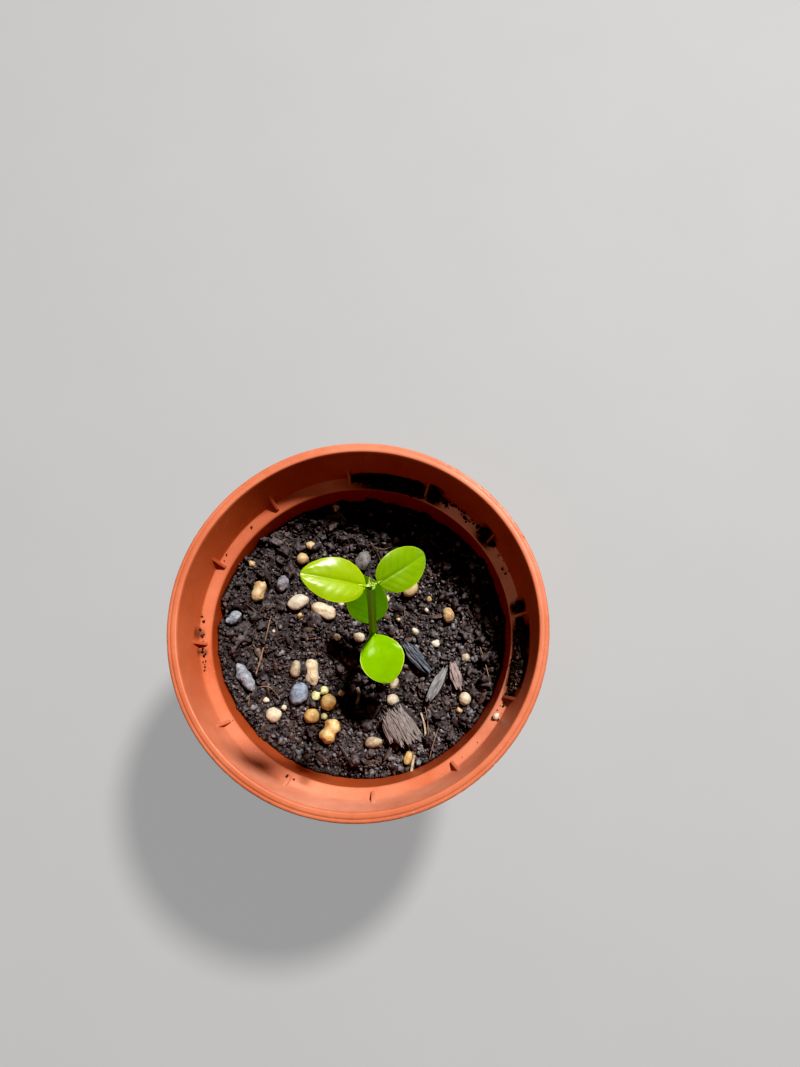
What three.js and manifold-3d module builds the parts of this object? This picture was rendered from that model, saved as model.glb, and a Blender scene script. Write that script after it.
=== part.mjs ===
// Potted citrus seedling: a young plant with two pairs of leaves, in a terracotta-coloured
// plastic pot filled with potting compost. Millimetres, +Z up. The origin is the centre of
// the pot's flat underside, and -Y is the side nearest the viewer.
import * as THREE from 'three';
import Module from 'manifold-3d';
import { mergeVertices } from 'three/addons/utils/BufferGeometryUtils.js';
import { ImprovedNoise } from 'three/addons/math/ImprovedNoise.js';

const wasm = await Module();
wasm.setup();

// Clearance between touching pieces, and the sides of every ring round the pot's axis
const gap = 0.3;
const ringSides = 60;

// Pot: a tapered wall, a ledge, and a wider collar under a rolled lip
const potHeight = 87;
const wallThickness = 1.2;
const lipInnerRadius = 50;
const lipOuterRadius = 52.8;
const lipThickness = 2.5;
const lipRound = 0.8;
const lipInnerRound = 0.4;
const creaseRadius = 47.3;
const creaseDepth = 14.6;
const ledgeRadius = 44.2;
const ledgeDepth = 16.9;
const baseRadius = 38;
const floorTop = 2.4;
const recessHeight = 1;
const hubRadius = 11;
const footInnerRadius = 33;
const drainHoleCount = 8;
const drainHoleRadius = 3.5;
const drainRingRadius = 25;
const footNotchCount = 4;
const footNotchWidth = 6;
const footNotchLength = 10;

// Ribs: small fins that stand on the ledge against the collar
const ribCount = 12;
const ribThickness = 0.9;
const ribFirstAngle = -5;
const ribTopDepth = 8.2;
const ribNose = 1;

// Compost: its level under the rim, its tilt, the dish in the middle, the planting hollow,
// its banks against the wall, higher at the sides than at the front, and the lumps, large
// and small, as their height, their size and the slice of noise used
const compostDepth = 32;
const compostTilt = { x: -0.03, y: 0.05 };
const dishDepth = 3;
const hollow = { x: -2, y: -15, radius: 10.5, depth: 6.5 };
const banks = { all: 3.4, back: 2.6, sides: 3.6 };
const compostLumps = [
  { height: 1.1, size: 8, slice: 0.4 },
  { height: 0.9, size: 3.4, slice: 5.7 },
];
const compostRings = 13;

// Stem: a near upright shoot with a swelling where each pair of leaves joins it
const stemFoot = { x: 2.7, y: -0.2, radius: 1.3 };
const stemNode = { x: 3.5, y: 0.4, z: potHeight - 16, radius: 1.1 };
const stemTop = { x: 6.1, y: -0.8, z: potHeight + 49, radius: 0.95 };
const stemFlare = 0.5;
const stemFlareHeight = 3;
const nodeSwelling = 0.12;
const nodeSwellingHeight = 1.6;
const stemSeat = 0.8;
const stemSeatHeight = 8;
const stemSides = 12;
const stemSteps = 26;

// Leaves: yaw is the compass of the midrib from +X, pitch its slope at the stalk and the tip
const leafThickness = 0.35;
const stalkRadius = 0.5;
const stalkOverlap = 1.2;
const leafEndWidth = 0.05;
const leafSteps = 14;
const leafStrips = 6;
const leaves = [
  {
    name: 'leaf_upper_left', from: stemTop, drop: 0.9, yaw: 174, roll: 4, stalk: 0.6,
    length: 14, width: 9.7, belly: 0.44, fullness: 0.6, fold: 0.14, pitch: [22, 17],
    colour: 0xafd600,
  },
  {
    name: 'leaf_upper_right', from: stemTop, drop: 0.9, yaw: 30, roll: 21, stalk: 0.6,
    length: 14, width: 9, belly: 0.42, fullness: 0.54, fold: 0.07, pitch: [4, -48],
    colour: 0x96c800,
  },
  {
    name: 'leaf_lower_front', from: stemNode, drop: 0, yaw: -73, roll: -10, stalk: 0.1,
    length: 14.8, width: 13.2, belly: 0.52, fullness: 0.55, fold: 0.03, pitch: [14, -14],
    colour: 0x78c800,
  },
  {
    name: 'leaf_lower_back', from: stemNode, drop: 0, yaw: 100, roll: -6, stalk: 0.1,
    length: 15, width: 12.2, belly: 0.42, fullness: 0.58, fold: 0.04, pitch: [24, 34],
    colour: 0x3c8c0a,
  },
];

// Shoot tip: a bud between small leaflets, each with its compass, its lean and its length
const budSize = { wide: 1.5, tall: 2, rise: 0.6 };
const leafletSize = { wide: 0.75, thick: 0.45, rise: 0.7 };
const leaflets = [
  { yaw: 100, lean: 38, length: 2.1 },
  { yaw: 215, lean: 48, length: 1.5 },
  { yaw: 330, lean: 40, length: 1.6 },
];

// Fertiliser beads, stones and chips that lie in the compost, as they show from above
const looseRise = 0.12;
const looseSeat = 3.2 * gap;
const grainUnevenness = 0.16;
const twinWaist = 0.3;
const chipUnevenness = 0.3;
const chipTaper = 1.4;
const beads = [
  { x: -32.9, y: 14.3, long: 7, wide: 5, turn: 75, twin: true },
  { x: -20.9, y: 11.4, long: 7, wide: 4.6, turn: 25 },
  { x: -13, y: 9, long: 8.6, wide: 5.4, turn: -25, twin: true },
  { x: -19.8, y: 25.1, long: 4, wide: 3.8, turn: 0 },
  { x: 14.5, y: 15.9, long: 6, wide: 4.6, turn: 60 },
  { x: 26.4, y: 7.3, long: 5, wide: 3.6, turn: 100 },
  { x: -1.6, y: 0.6, long: 3.4, wide: 3.2, turn: 0 },
  { x: -21.3, y: -9.4, long: 5.4, wide: 3.6, turn: 85 },
  { x: -16.2, y: -10.2, long: 8.4, wide: 5, turn: 95, twin: true },
  { x: -11, y: -19.4, long: 5, wide: 4.7, turn: 30 },
  { x: -16, y: -23.6, long: 5, wide: 4.7, turn: 0 },
  { x: -10.2, y: -28.2, long: 7.6, wide: 6.2, turn: 60, twin: true },
  { x: -27.4, y: -23.5, long: 5, wide: 4.4, turn: 20 },
  { x: 9.4, y: -13.8, long: 4.4, wide: 2.6, turn: 70 },
  { x: 9, y: -18.8, long: 3.9, wide: 3.6, turn: 10 },
  { x: 3, y: -31.4, long: 5.6, wide: 3.2, turn: 5 },
  { x: 13.6, y: -36, long: 4.4, wide: 2.6, turn: 75 },
  { x: 31.1, y: -18.6, long: 4, wide: 3.8, turn: 0 },
];
const stones = [
  { x: -20, y: -17, long: 7, wide: 5.6, turn: 60 },
  { x: -35.9, y: -12.3, long: 9.6, wide: 4, turn: -55 },
  { x: -39.8, y: 5.3, long: 5.4, wide: 3.4, turn: 40 },
  { x: -25.7, y: 17.1, long: 5.6, wide: 3.8, turn: 80 },
  { x: -0.5, y: 24.9, long: 6.4, wide: 4.6, turn: 70 },
];
const chips = [
  { name: 'charcoal_chip', x: 16.6, y: -6, long: 10.4, wide: 3.2, tall: 2.8, turn: -50 },
  { name: 'wood_chip', x: 22.4, y: -14.3, long: 9.4, wide: 3.4, tall: 2.6, turn: 60 },
  { name: 'husk_chip', x: 28.3, y: -11.5, long: 6.8, wide: 3.6, tall: 2.6, turn: 105 },
  { name: 'bark_chip', x: 11.4, y: -26.8, long: 11.4, wide: 9, tall: 5, turn: 70 },
];

// Crumbs of compost left on the ledge, between two ribs each, as compass angles from +Y
const crumbFoot = 0.5;
const crumbInset = { inner: 0.8, outer: 0.6, wall: 0.15 };
const ledgeCrumbs = [
  { name: 'ledge_crumbs_back', from: -3, to: 23, reach: 2.8 },
  { name: 'ledge_crumbs_side', from: 87, to: 113, reach: 4 },
];

const noise = new ImprovedNoise();
const radians = THREE.MathUtils.degToRad;
const part = new THREE.Group();

function material(colour, roughness) {
  return new THREE.MeshStandardMaterial({ color: colour, roughness, metalness: 0 });
}

// A closed solid from a geometry: shared corners are merged and collapsed faces left out
function solid(geometry) {
  const bare = geometry.clone();
  bare.deleteAttribute('normal');
  bare.deleteAttribute('uv');
  const merged = mergeVertices(bare, 1e-4);
  const index = merged.index.array;
  const faces = [];
  for (let i = 0; i < index.length; i += 3) {
    const [a, b, c] = [index[i], index[i + 1], index[i + 2]];
    if (a !== b && b !== c && c !== a) faces.push(a, b, c);
  }
  return new wasm.Manifold(new wasm.Mesh({
    numProp: 3,
    vertProperties: new Float32Array(merged.attributes.position.array),
    triVerts: new Uint32Array(faces),
  }));
}

function surfaceOf(body) {
  const mesh = body.getMesh();
  const geometry = new THREE.BufferGeometry();
  geometry.setAttribute('position', new THREE.BufferAttribute(mesh.vertProperties, 3));
  geometry.setIndex(new THREE.BufferAttribute(mesh.triVerts, 1));
  geometry.computeVertexNormals();
  return geometry;
}

function addPiece(name, body, colour, roughness) {
  const mesh = new THREE.Mesh(surfaceOf(body), material(colour, roughness));
  mesh.name = name;
  part.add(mesh);
  return mesh;
}

// Moves every corner of a geometry to where place(corner) says
function reshape(geometry, place) {
  const positions = geometry.attributes.position;
  const corner = new THREE.Vector3();
  for (let i = 0; i < positions.count; i++) {
    const moved = place(corner.fromBufferAttribute(positions, i));
    positions.setXYZ(i, moved.x, moved.y, moved.z);
  }
  return geometry;
}

// A ring round the Z axis from its half section of [radius, height] points
function turned(section) {
  const points = section.map(([radius, height]) => new THREE.Vector2(radius, height));
  return new THREE.LatheGeometry(points, ringSides).rotateX(Math.PI / 2);
}

function collarInnerRadius(z) {
  const below = (potHeight - z) / creaseDepth;
  return THREE.MathUtils.lerp(lipInnerRadius, creaseRadius, below);
}

function ledgeHeight(radius) {
  const inward = (creaseRadius - radius) / (creaseRadius - ledgeRadius);
  return potHeight - THREE.MathUtils.lerp(creaseDepth, ledgeDepth, inward);
}

function wallInnerRadius(z) {
  const up = (z - floorTop) / (potHeight - ledgeDepth - floorTop);
  return THREE.MathUtils.lerp(baseRadius - wallThickness, ledgeRadius, up);
}

function potShell() {
  const creaseZ = potHeight - creaseDepth;
  const ledgeZ = potHeight - ledgeDepth;
  const lipZ = potHeight - lipThickness;
  return turned([
    [0, 0],
    [hubRadius, 0],
    [hubRadius + recessHeight, recessHeight],
    [footInnerRadius - recessHeight, recessHeight],
    [footInnerRadius, 0],
    [baseRadius - lipRound, 0],
    [baseRadius, lipRound],
    [ledgeRadius + wallThickness, ledgeZ - wallThickness],
    [creaseRadius + wallThickness, creaseZ - wallThickness],
    [collarInnerRadius(lipZ) + wallThickness, lipZ],
    [lipOuterRadius - lipRound, lipZ],
    [lipOuterRadius, lipZ + lipRound],
    [lipOuterRadius, potHeight - lipRound],
    [lipOuterRadius - lipRound, potHeight],
    [lipInnerRadius + lipInnerRound, potHeight],
    [lipInnerRadius, potHeight - lipInnerRound],
    [creaseRadius, creaseZ],
    [ledgeRadius, ledgeZ],
    [wallInnerRadius(floorTop), floorTop],
    [0, floorTop],
  ]);
}

function potRib(index) {
  const embed = wallThickness / 2;
  const noseRadius = ledgeRadius + ribNose;
  const topZ = potHeight - ribTopDepth;
  const outline = new THREE.Shape();
  outline.moveTo(collarInnerRadius(topZ) + embed, topZ);
  outline.lineTo(noseRadius, ledgeHeight(noseRadius) + ribNose);
  outline.lineTo(noseRadius, ledgeHeight(noseRadius) - embed);
  outline.lineTo(creaseRadius + embed, ledgeHeight(creaseRadius) - embed);
  const fin = new THREE.ExtrudeGeometry(outline, { depth: ribThickness, bevelEnabled: false });
  fin.translate(0, 0, -ribThickness / 2).rotateX(Math.PI / 2);
  const compass = ribFirstAngle + index * 360 / ribCount;
  return fin.rotateZ(radians(90 - compass));
}

function addPot() {
  let body = solid(potShell());
  for (let i = 0; i < ribCount; i++) body = body.add(solid(potRib(i)));
  for (let i = 0; i < drainHoleCount; i++) {
    const hole = new THREE.CylinderGeometry(drainHoleRadius, drainHoleRadius, 3 * floorTop, 16);
    hole.rotateX(Math.PI / 2).translate(drainRingRadius, 0, 0);
    body = body.subtract(solid(hole.rotateZ(radians(i * 360 / drainHoleCount))));
  }
  for (let i = 0; i < footNotchCount; i++) {
    const notch = new THREE.BoxGeometry(footNotchLength, footNotchWidth, 2 * recessHeight);
    notch.translate(baseRadius, 0, 0).rotateZ(radians((i + 0.5) * 360 / footNotchCount));
    body = body.subtract(solid(notch));
  }
  addPiece('pot', body, 0xc8603a, 0.5);
}

// The height of the compost: a shallow, slightly tilted dish with banks, lumps and a hollow
function compostHeight(x, y) {
  const [across, back] = [x, y].map((way) => way / wallInnerRadius(potHeight - compostDepth));
  const out = Math.hypot(across, back);
  const dish = dishDepth * (1 - out * out) - compostTilt.x * x - compostTilt.y * y;
  const bank = banks.all * out ** 4 + banks.back * back * out ** 3
    + banks.sides * (across ** 2 - back ** 2) * out ** 2;
  const away = Math.hypot(x - hollow.x, y - hollow.y) / hollow.radius;
  const well = away < 1 ? hollow.depth * (1 - away * away) ** 2 : 0;
  let lumps = 0;
  for (const { height, size, slice } of compostLumps) {
    lumps += height * noise.noise(x / size, y / size, slice);
  }
  return potHeight - compostDepth - dish + bank - well + lumps;
}

function compostBlock() {
  const topZ = potHeight - compostDepth;
  const topRadius = wallInnerRadius(topZ) - gap;
  const bottomZ = floorTop + gap;
  const section = [[0, bottomZ], [wallInnerRadius(bottomZ) - gap, bottomZ]];
  for (let i = compostRings; i >= 0; i--) section.push([topRadius * i / compostRings, topZ]);
  return reshape(turned(section), (corner) => {
    if (corner.z < topZ - 0.1) return corner;
    const z = compostHeight(corner.x, corner.y);
    const spread = (wallInnerRadius(z) - gap) / topRadius;
    return new THREE.Vector3(corner.x * spread, corner.y * spread, z);
  });
}

// A rounded grain: an uneven ball, pinched in the middle where it is a twin
function grain({ long, wide, tall = wide, twin = false, grow = 0, seed }) {
  const ball = new THREE.IcosahedronGeometry(0.5, twin ? 2 : 1);
  return reshape(ball, (corner) => {
    const { x, y, z } = corner;
    const uneven = 1 + grainUnevenness * noise.noise(3 * x + seed, 3 * y, 3 * z);
    const waist = twin ? 1 - twinWaist * Math.exp(-30 * x * x) : 1;
    corner.x *= (long + grow) * uneven;
    corner.y *= (wide + grow) * uneven * waist;
    corner.z *= (tall + grow) * uneven * waist;
    return corner;
  });
}

// A splintery chip: a flat block with uneven sides and thinner ends
function chip({ long, wide, tall, grow = 0, seed }) {
  const block = new THREE.BoxGeometry(1, 1, 1, 4, 2, 1);
  return reshape(block, (corner) => {
    const { x, y, z } = corner;
    const taper = 1 - chipTaper * x * x;
    const uneven = 1 + chipUnevenness * noise.noise(3 * x + seed, 2 * y, 2 * z);
    corner.x *= long + grow;
    corner.y *= (wide + grow) * taper * uneven;
    corner.z *= (tall + grow) * taper * uneven;
    return corner;
  });
}

// Lays a grain or chip in the compost, more than half of it showing, and returns the
// compost with a seat for it that is one gap wider
function seatLoose(compost, name, shape, place, colour, seed) {
  const height = place.tall ?? place.wide;
  const z = compostHeight(place.x, place.y) + looseRise * height;
  const settle = (geometry) => geometry.rotateZ(radians(place.turn)).translate(place.x, place.y, z);
  addPiece(name, solid(settle(shape({ ...place, seed }))), colour, 0.6);
  return compost.subtract(solid(settle(shape({ ...place, seed, grow: looseSeat }))));
}

function stemRadius(t, z, footZ) {
  const plain = THREE.MathUtils.lerp(stemFoot.radius, stemTop.radius, t);
  const flare = stemFlare * Math.max(0, 1 - (z - footZ) / stemFlareHeight) ** 2;
  const joint = (z - stemNode.z) / nodeSwellingHeight;
  return plain + flare + nodeSwelling * Math.exp(-joint * joint);
}

function addStem(compost) {
  const footZ = compostHeight(stemFoot.x, stemFoot.y) - stemSeat;
  const path = new THREE.CatmullRomCurve3([
    new THREE.Vector3(stemFoot.x, stemFoot.y, footZ),
    new THREE.Vector3(stemNode.x, stemNode.y, stemNode.z),
    new THREE.Vector3(stemTop.x, stemTop.y, stemTop.z),
  ]);
  const tube = new THREE.CylinderGeometry(1, 1, 1, stemSides, stemSteps).rotateX(Math.PI / 2);
  reshape(tube, (corner) => {
    const t = corner.z + 0.5;
    const centre = path.getPoint(t);
    const radius = stemRadius(t, centre.z, footZ);
    return centre.add(new THREE.Vector3(corner.x * radius, corner.y * radius, 0));
  });
  addPiece('stem', solid(tube), 0x507a20, 0.5);
  const seatRadius = stemFoot.radius + stemFlare + gap;
  const seat = new THREE.CylinderGeometry(seatRadius, seatRadius, stemSeatHeight, 2 * stemSides);
  seat.rotateX(Math.PI / 2).translate(stemFoot.x, stemFoot.y, footZ - gap + stemSeatHeight / 2);
  return compost.subtract(solid(seat));
}

// Half the blade's width, as a share of its widest, along the midrib
function leafOutline(u, { belly, fullness }) {
  const bent = u ** (Math.log(0.5) / Math.log(belly));
  return Math.max(leafEndWidth, Math.sin(Math.PI * bent) ** fullness);
}

// The midrib's point and slope at a share u of its length, on an arc from pitch to pitch
function midrib(u, { length, pitch }) {
  const start = radians(pitch[0]);
  const sweep = radians(pitch[1] - pitch[0]);
  const slope = start + sweep * u;
  const x = length * (Math.sin(slope) - Math.sin(start)) / sweep;
  const z = length * (Math.cos(start) - Math.cos(slope)) / sweep;
  return { x, z, slope };
}

function leafBlade(leaf) {
  const block = new THREE.BoxGeometry(1, 2, 1, leafSteps, leafStrips, 1);
  return reshape(block, (corner) => {
    const u = corner.x + 0.5;
    const { x, z, slope } = midrib(u, leaf);
    const half = 0.5 * leaf.width * leafOutline(u, leaf);
    const lift = corner.z * leafThickness + leaf.fold * Math.abs(corner.y) * half;
    return new THREE.Vector3(x - lift * Math.sin(slope), corner.y * half, z + lift * Math.cos(slope));
  });
}

// A short stalk that slopes as the midrib starts, and runs a little way under the blade
function leafStalk({ stalk, pitch }) {
  const reach = stalk + stalkOverlap;
  const rod = new THREE.CylinderGeometry(stalkRadius * 0.8, stalkRadius, reach, 8);
  return rod.rotateZ(-Math.PI / 2).translate(reach / 2, 0, 0).rotateY(-radians(pitch[0]));
}

function addLeaf(leaf) {
  const slope = radians(leaf.pitch[0]);
  const stemSide = leaf.from === stemTop ? stemTop.radius : stemNode.radius + nodeSwelling;
  const start = stemSide + gap + stalkRadius * Math.abs(Math.sin(slope));
  const blade = leafBlade(leaf).translate(leaf.stalk * Math.cos(slope), 0, leaf.stalk * Math.sin(slope));
  const body = solid(blade).add(solid(leafStalk(leaf))).translate([start, 0, 0]);
  const mesh = addPiece(leaf.name, body, leaf.colour, 0.35);
  mesh.position.set(leaf.from.x, leaf.from.y, leaf.from.z - leaf.drop);
  mesh.rotation.set(radians(leaf.roll), 0, radians(leaf.yaw), 'ZYX');
}

// The shoot tip: a bud between three folded leaflets that are just opening
function addShootTip() {
  const bud = new THREE.SphereGeometry(0.5, 8, 6).scale(budSize.wide, budSize.wide, budSize.tall);
  let body = solid(bud.translate(0, 0, budSize.rise));
  for (const { yaw, lean, length } of leaflets) {
    const leaflet = new THREE.SphereGeometry(0.5, 8, 6);
    leaflet.scale(leafletSize.wide, leafletSize.thick, length).translate(0, 0, length / 2);
    leaflet.rotateY(radians(lean)).rotateZ(radians(yaw)).translate(0, 0, leafletSize.rise);
    body = body.add(solid(leaflet));
  }
  const foot = budSize.tall / 2 - budSize.rise;
  const mesh = addPiece('shoot_tip', body, 0xc8d678, 0.45);
  mesh.position.set(stemTop.x, stemTop.y, stemTop.z + gap + foot);
}

// A drift of crumbs in the corner between the ledge and the collar, thin at its ends
function addLedgeCrumbs({ name, from, to, reach }) {
  const block = new THREE.BoxGeometry(1, 1, 1, 10, 3, 1);
  reshape(block, (corner) => {
    const along = corner.x + 0.5;
    const outward = corner.y + 0.5;
    const swell = Math.sin(Math.PI * along) ** 0.5;
    const lump = 0.75 + 0.5 * noise.noise(along * 9, outward * 3, reach);
    const top = crumbFoot + outward * reach * swell * lump;
    const inner = ledgeRadius + crumbInset.inner;
    const outer = creaseRadius - crumbInset.outer;
    const bottomRadius = THREE.MathUtils.lerp(inner, outer, outward);
    const z = ledgeHeight(bottomRadius) + gap + crumbInset.wall + (corner.z + 0.5) * top;
    const wall = collarInnerRadius(z) - gap - crumbInset.wall;
    const lean = outward * (wall - outer) * (corner.z + 0.5);
    const compass = radians(90 - THREE.MathUtils.lerp(from, to, along));
    const radius = bottomRadius + Math.max(0, lean);
    return new THREE.Vector3(radius * Math.cos(compass), radius * Math.sin(compass), z);
  });
  addPiece(name, solid(block), 0x231a14, 0.95);
}

addPot();
let compost = addStem(solid(compostBlock()));
beads.forEach((place, i) => {
  compost = seatLoose(compost, `bead_${i + 1}`, grain, place, 0xd8b070, 10 * i);
});
stones.forEach((place, i) => {
  compost = seatLoose(compost, `stone_${i + 1}`, grain, place, 0x808894, 10 * i + 5);
});
chips.forEach((place, i) => {
  compost = seatLoose(compost, place.name, chip, place, 0x4a3c34, 10 * i + 3);
});
addPiece('compost', compost, 0x231a14, 0.95);
leaves.forEach(addLeaf);
addShootTip();
ledgeCrumbs.forEach(addLedgeCrumbs);

export default part;
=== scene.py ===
import math
import random

import bmesh
import bpy
import numpy as np
from mathutils import Euler, Matrix, Vector, noise
from mathutils.bvhtree import BVHTree


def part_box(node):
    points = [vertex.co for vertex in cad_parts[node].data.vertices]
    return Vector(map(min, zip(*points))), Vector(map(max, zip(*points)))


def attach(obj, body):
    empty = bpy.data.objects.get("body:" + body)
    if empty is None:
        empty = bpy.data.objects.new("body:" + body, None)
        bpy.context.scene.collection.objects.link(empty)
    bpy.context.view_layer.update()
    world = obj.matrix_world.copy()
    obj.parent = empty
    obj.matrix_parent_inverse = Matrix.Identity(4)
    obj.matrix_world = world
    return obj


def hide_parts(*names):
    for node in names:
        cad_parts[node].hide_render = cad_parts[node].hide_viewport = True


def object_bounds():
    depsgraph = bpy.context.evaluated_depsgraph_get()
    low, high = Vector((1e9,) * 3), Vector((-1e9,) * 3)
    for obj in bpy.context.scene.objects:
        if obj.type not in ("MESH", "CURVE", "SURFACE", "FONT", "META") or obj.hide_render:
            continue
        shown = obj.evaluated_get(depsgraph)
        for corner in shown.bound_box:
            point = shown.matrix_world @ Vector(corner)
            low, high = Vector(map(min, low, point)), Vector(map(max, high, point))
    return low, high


# A citrus seedling with two pairs of leaves, in a terracotta-coloured plastic pot of compost.
# Shapes are drawn in millimetres, +Z up, and a finished piece is brought to metres.

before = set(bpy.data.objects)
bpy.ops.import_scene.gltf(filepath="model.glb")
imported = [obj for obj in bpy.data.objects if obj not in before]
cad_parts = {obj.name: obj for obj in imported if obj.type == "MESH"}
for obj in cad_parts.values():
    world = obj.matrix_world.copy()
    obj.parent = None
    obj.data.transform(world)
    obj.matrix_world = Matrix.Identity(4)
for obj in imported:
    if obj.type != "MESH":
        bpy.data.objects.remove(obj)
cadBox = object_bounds()
scene = bpy.context.scene
mm = 0.001


# Helpers for pieces

def finishPiece(name, bm, paint, replaces=(), sharp=60):
    bmesh.ops.recalc_face_normals(bm, faces=bm.faces)
    bmesh.ops.scale(bm, vec=(mm, mm, mm), verts=bm.verts)
    mesh = bpy.data.meshes.new(name)
    bm.to_mesh(mesh)
    bm.free()
    return placePiece(name, mesh, paint, replaces, sharp)


def placePiece(name, mesh, paint, replaces, sharp):
    piece = bpy.data.objects.new(name, mesh)
    scene.collection.objects.link(piece)
    mesh.materials.append(paint)
    mesh.shade_smooth()
    mesh.set_sharp_from_angle(angle=math.radians(sharp))
    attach(piece, "root")
    if replaces:
        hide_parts(*replaces)
    return piece


def temporary(name, bm):  # a helper object, which is no piece of the part
    bmesh.ops.recalc_face_normals(bm, faces=bm.faces)
    mesh = bpy.data.meshes.new(name)
    bm.to_mesh(mesh)
    bm.free()
    made = bpy.data.objects.new(name, mesh)
    scene.collection.objects.link(made)
    return made


def vertsOf(parts):
    return [part for part in parts if isinstance(part, bmesh.types.BMVert)]


def openEdges(bm):
    return [edge for edge in bm.edges if edge.is_boundary]


def turnZ(degrees):
    return Matrix.Rotation(math.radians(degrees), 3, "Z")


def turnUpright(bm, verts, degrees):
    bmesh.ops.rotate(bm, cent=(0, 0, 0), matrix=turnZ(degrees), verts=verts)


def onCompass(radius, compass, z):  # compass in degrees, from +Y towards +X
    angle = math.radians(90 - compass)
    return Vector((radius * math.cos(angle), radius * math.sin(angle), z))


def compassOf(point):
    return math.degrees(math.atan2(point.x, point.y))


def apart(first, second):  # the difference of two compass angles, from -180 to 180
    return (first - second + 180) % 360 - 180


def mix(a, b, share):
    return a + (b - a) * share


def within(value, low=0, high=1):
    return max(low, min(high, value))


def bell(distance, width):  # 1 at no distance, falling off over the width
    return math.exp(-(distance / width) ** 2)


def bumps(point, size):  # rounded lumps of about that size, from -0.5 to 0.5
    return 0.5 - noise.voronoi(point / size)[0][0]


def waves(point, size):
    return noise.noise(point / size)


# Helpers for materials

def newMaterial(name, sockets):
    material = bpy.data.materials.new(name)
    material.use_nodes = True
    shader = material.node_tree.nodes["Principled BSDF"]
    for socket, value in sockets.items():
        shader.inputs[socket].default_value = value
    return material


def addNode(material, kind, inputs=None, **settings):
    tree = material.node_tree
    node = tree.nodes.new(kind)
    for key, value in settings.items():
        setattr(node, key, value)
    for key, value in (inputs or {}).items():
        if isinstance(value, bpy.types.NodeSocket):
            tree.links.new(value, node.inputs[key])
        else:
            node.inputs[key].default_value = value
    return node


def plugIn(material, socket, value):
    shader = material.node_tree.nodes["Principled BSDF"]
    material.node_tree.links.new(value, shader.inputs[socket])


def finishPaint(material, colour, roughness, normal):
    plugIn(material, "Base Color", colour)
    plugIn(material, "Roughness", roughness)
    plugIn(material, "Normal", normal)
    return material


def pointsOf(material, stretch=(1, 1, 1), turn=0):  # the piece's own place, in millimetres
    place = addNode(material, "ShaderNodeTexCoord").outputs["Object"]
    turned = addNode(material, "ShaderNodeMapping", {
        "Vector": place, "Rotation": (0, 0, math.radians(turn))})
    return addNode(material, "ShaderNodeMapping", {
        "Vector": turned.outputs[0], "Scale": tuple(s / mm for s in stretch)}).outputs[0]


def cloud(material, points, size, detail=4, roughness=0.6):  # soft noise of about that size
    return addNode(material, "ShaderNodeTexNoise", {
        "Vector": points, "Scale": 1 / size, "Detail": detail, "Roughness": roughness,
    }).outputs["Fac"]


def valueOf(material, attribute):  # a number that the mesh carries at its corners
    return addNode(material, "ShaderNodeAttribute", attribute_name=attribute).outputs["Fac"]


def spread(material, value, low, high, start=0.0, end=1.0):  # a value's range, stretched
    return addNode(material, "ShaderNodeMapRange", {
        "Value": value, "From Min": low, "From Max": high, "To Min": start, "To Max": end,
    }, interpolation_type="SMOOTHSTEP").outputs[0]


def times(material, first, second):
    return addNode(material, "ShaderNodeMath", {0: first, 1: second},
                   operation="MULTIPLY").outputs[0]


def plus(material, first, second):
    return addNode(material, "ShaderNodeMath", {0: first, 1: second}, operation="ADD").outputs[0]


def blend(material, share, first, second):
    return addNode(material, "ShaderNodeMix", {0: share, 6: first, 7: second},
                   data_type="RGBA").outputs[2]


def ramp(material, value, stops):
    node = addNode(material, "ShaderNodeValToRGB", {"Fac": value})
    elements = node.color_ramp.elements
    while len(elements) < len(stops):
        elements.new(0.5)
    for element, (position, colour) in zip(elements, stops):
        element.position = position
        element.color = (*colour, 1)
    return node.outputs["Color"]


def bump(material, height, depth, strength=1.0, normal=None):  # depth in millimetres
    inputs = {"Height": height, "Strength": strength, "Distance": depth * mm}
    if normal is not None:
        inputs["Normal"] = normal
    return addNode(material, "ShaderNodeBump", inputs).outputs[0]


def dimmed(colour, share):
    return tuple(c * share for c in colour)


def opaque(colour):
    return (*colour, 1)


def translucent(weight, depth, tint):  # light that spreads under the skin, depth in millimetres
    return {"Subsurface Weight": weight, "Subsurface Scale": depth * mm,
            "Subsurface Radius": tint}


# Camera, at the photo's viewing angle

viewer = {
    "place": (14.785, -38.386, 308.9),
    "tilt": 15.961, "turn": -2.797,
    "focalPixels": 814.1, "framePixels": 1067, "sensor": 36,
}


def makeCamera():
    data = bpy.data.cameras.new("viewer")
    data.sensor_width = viewer["sensor"]
    data.lens = viewer["focalPixels"] / viewer["framePixels"] * viewer["sensor"]
    data.clip_start = 0.01
    camera = bpy.data.objects.new("viewer", data)
    tilt = math.radians(viewer["tilt"])
    turn = math.radians(viewer["turn"])
    forward = Vector((math.sin(tilt) * math.sin(turn), math.sin(tilt) * math.cos(turn),
                      -math.cos(tilt)))
    right = forward.cross(Vector((0, 1, 0))).normalized()
    up = right.cross(forward)
    camera.matrix_world = Matrix.Translation(Vector(viewer["place"]) * mm) @ Matrix(
        (right, up, -forward)).transposed().to_4x4()
    scene.collection.objects.link(camera)
    scene.camera = camera


makeCamera()
print("camera ready")

# Studio: a pale floor, one soft key light and an even fill

studio = {
    "keyTowards": (0.389, 0.548, 1), "keyDistance": 1.3, "keySize": 0.15, "keyPower": 27,
    "keyColour": (1, 0.97, 0.93),
    "fillColour": (0.95, 0.97, 1), "fillStrength": 0.15,
    "floorSize": 3.0, "floorColour": (0.19, 0.19, 0.19), "floorGlow": 0.35,
    # the view's curve, which deepens the darkest tones
    "curve": [(0.01, 0.0004), (0.02, 0.0034), (0.05, 0.021), (0.1, 0.06), (0.2, 0.15),
              (0.5, 0.455)],
}


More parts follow.
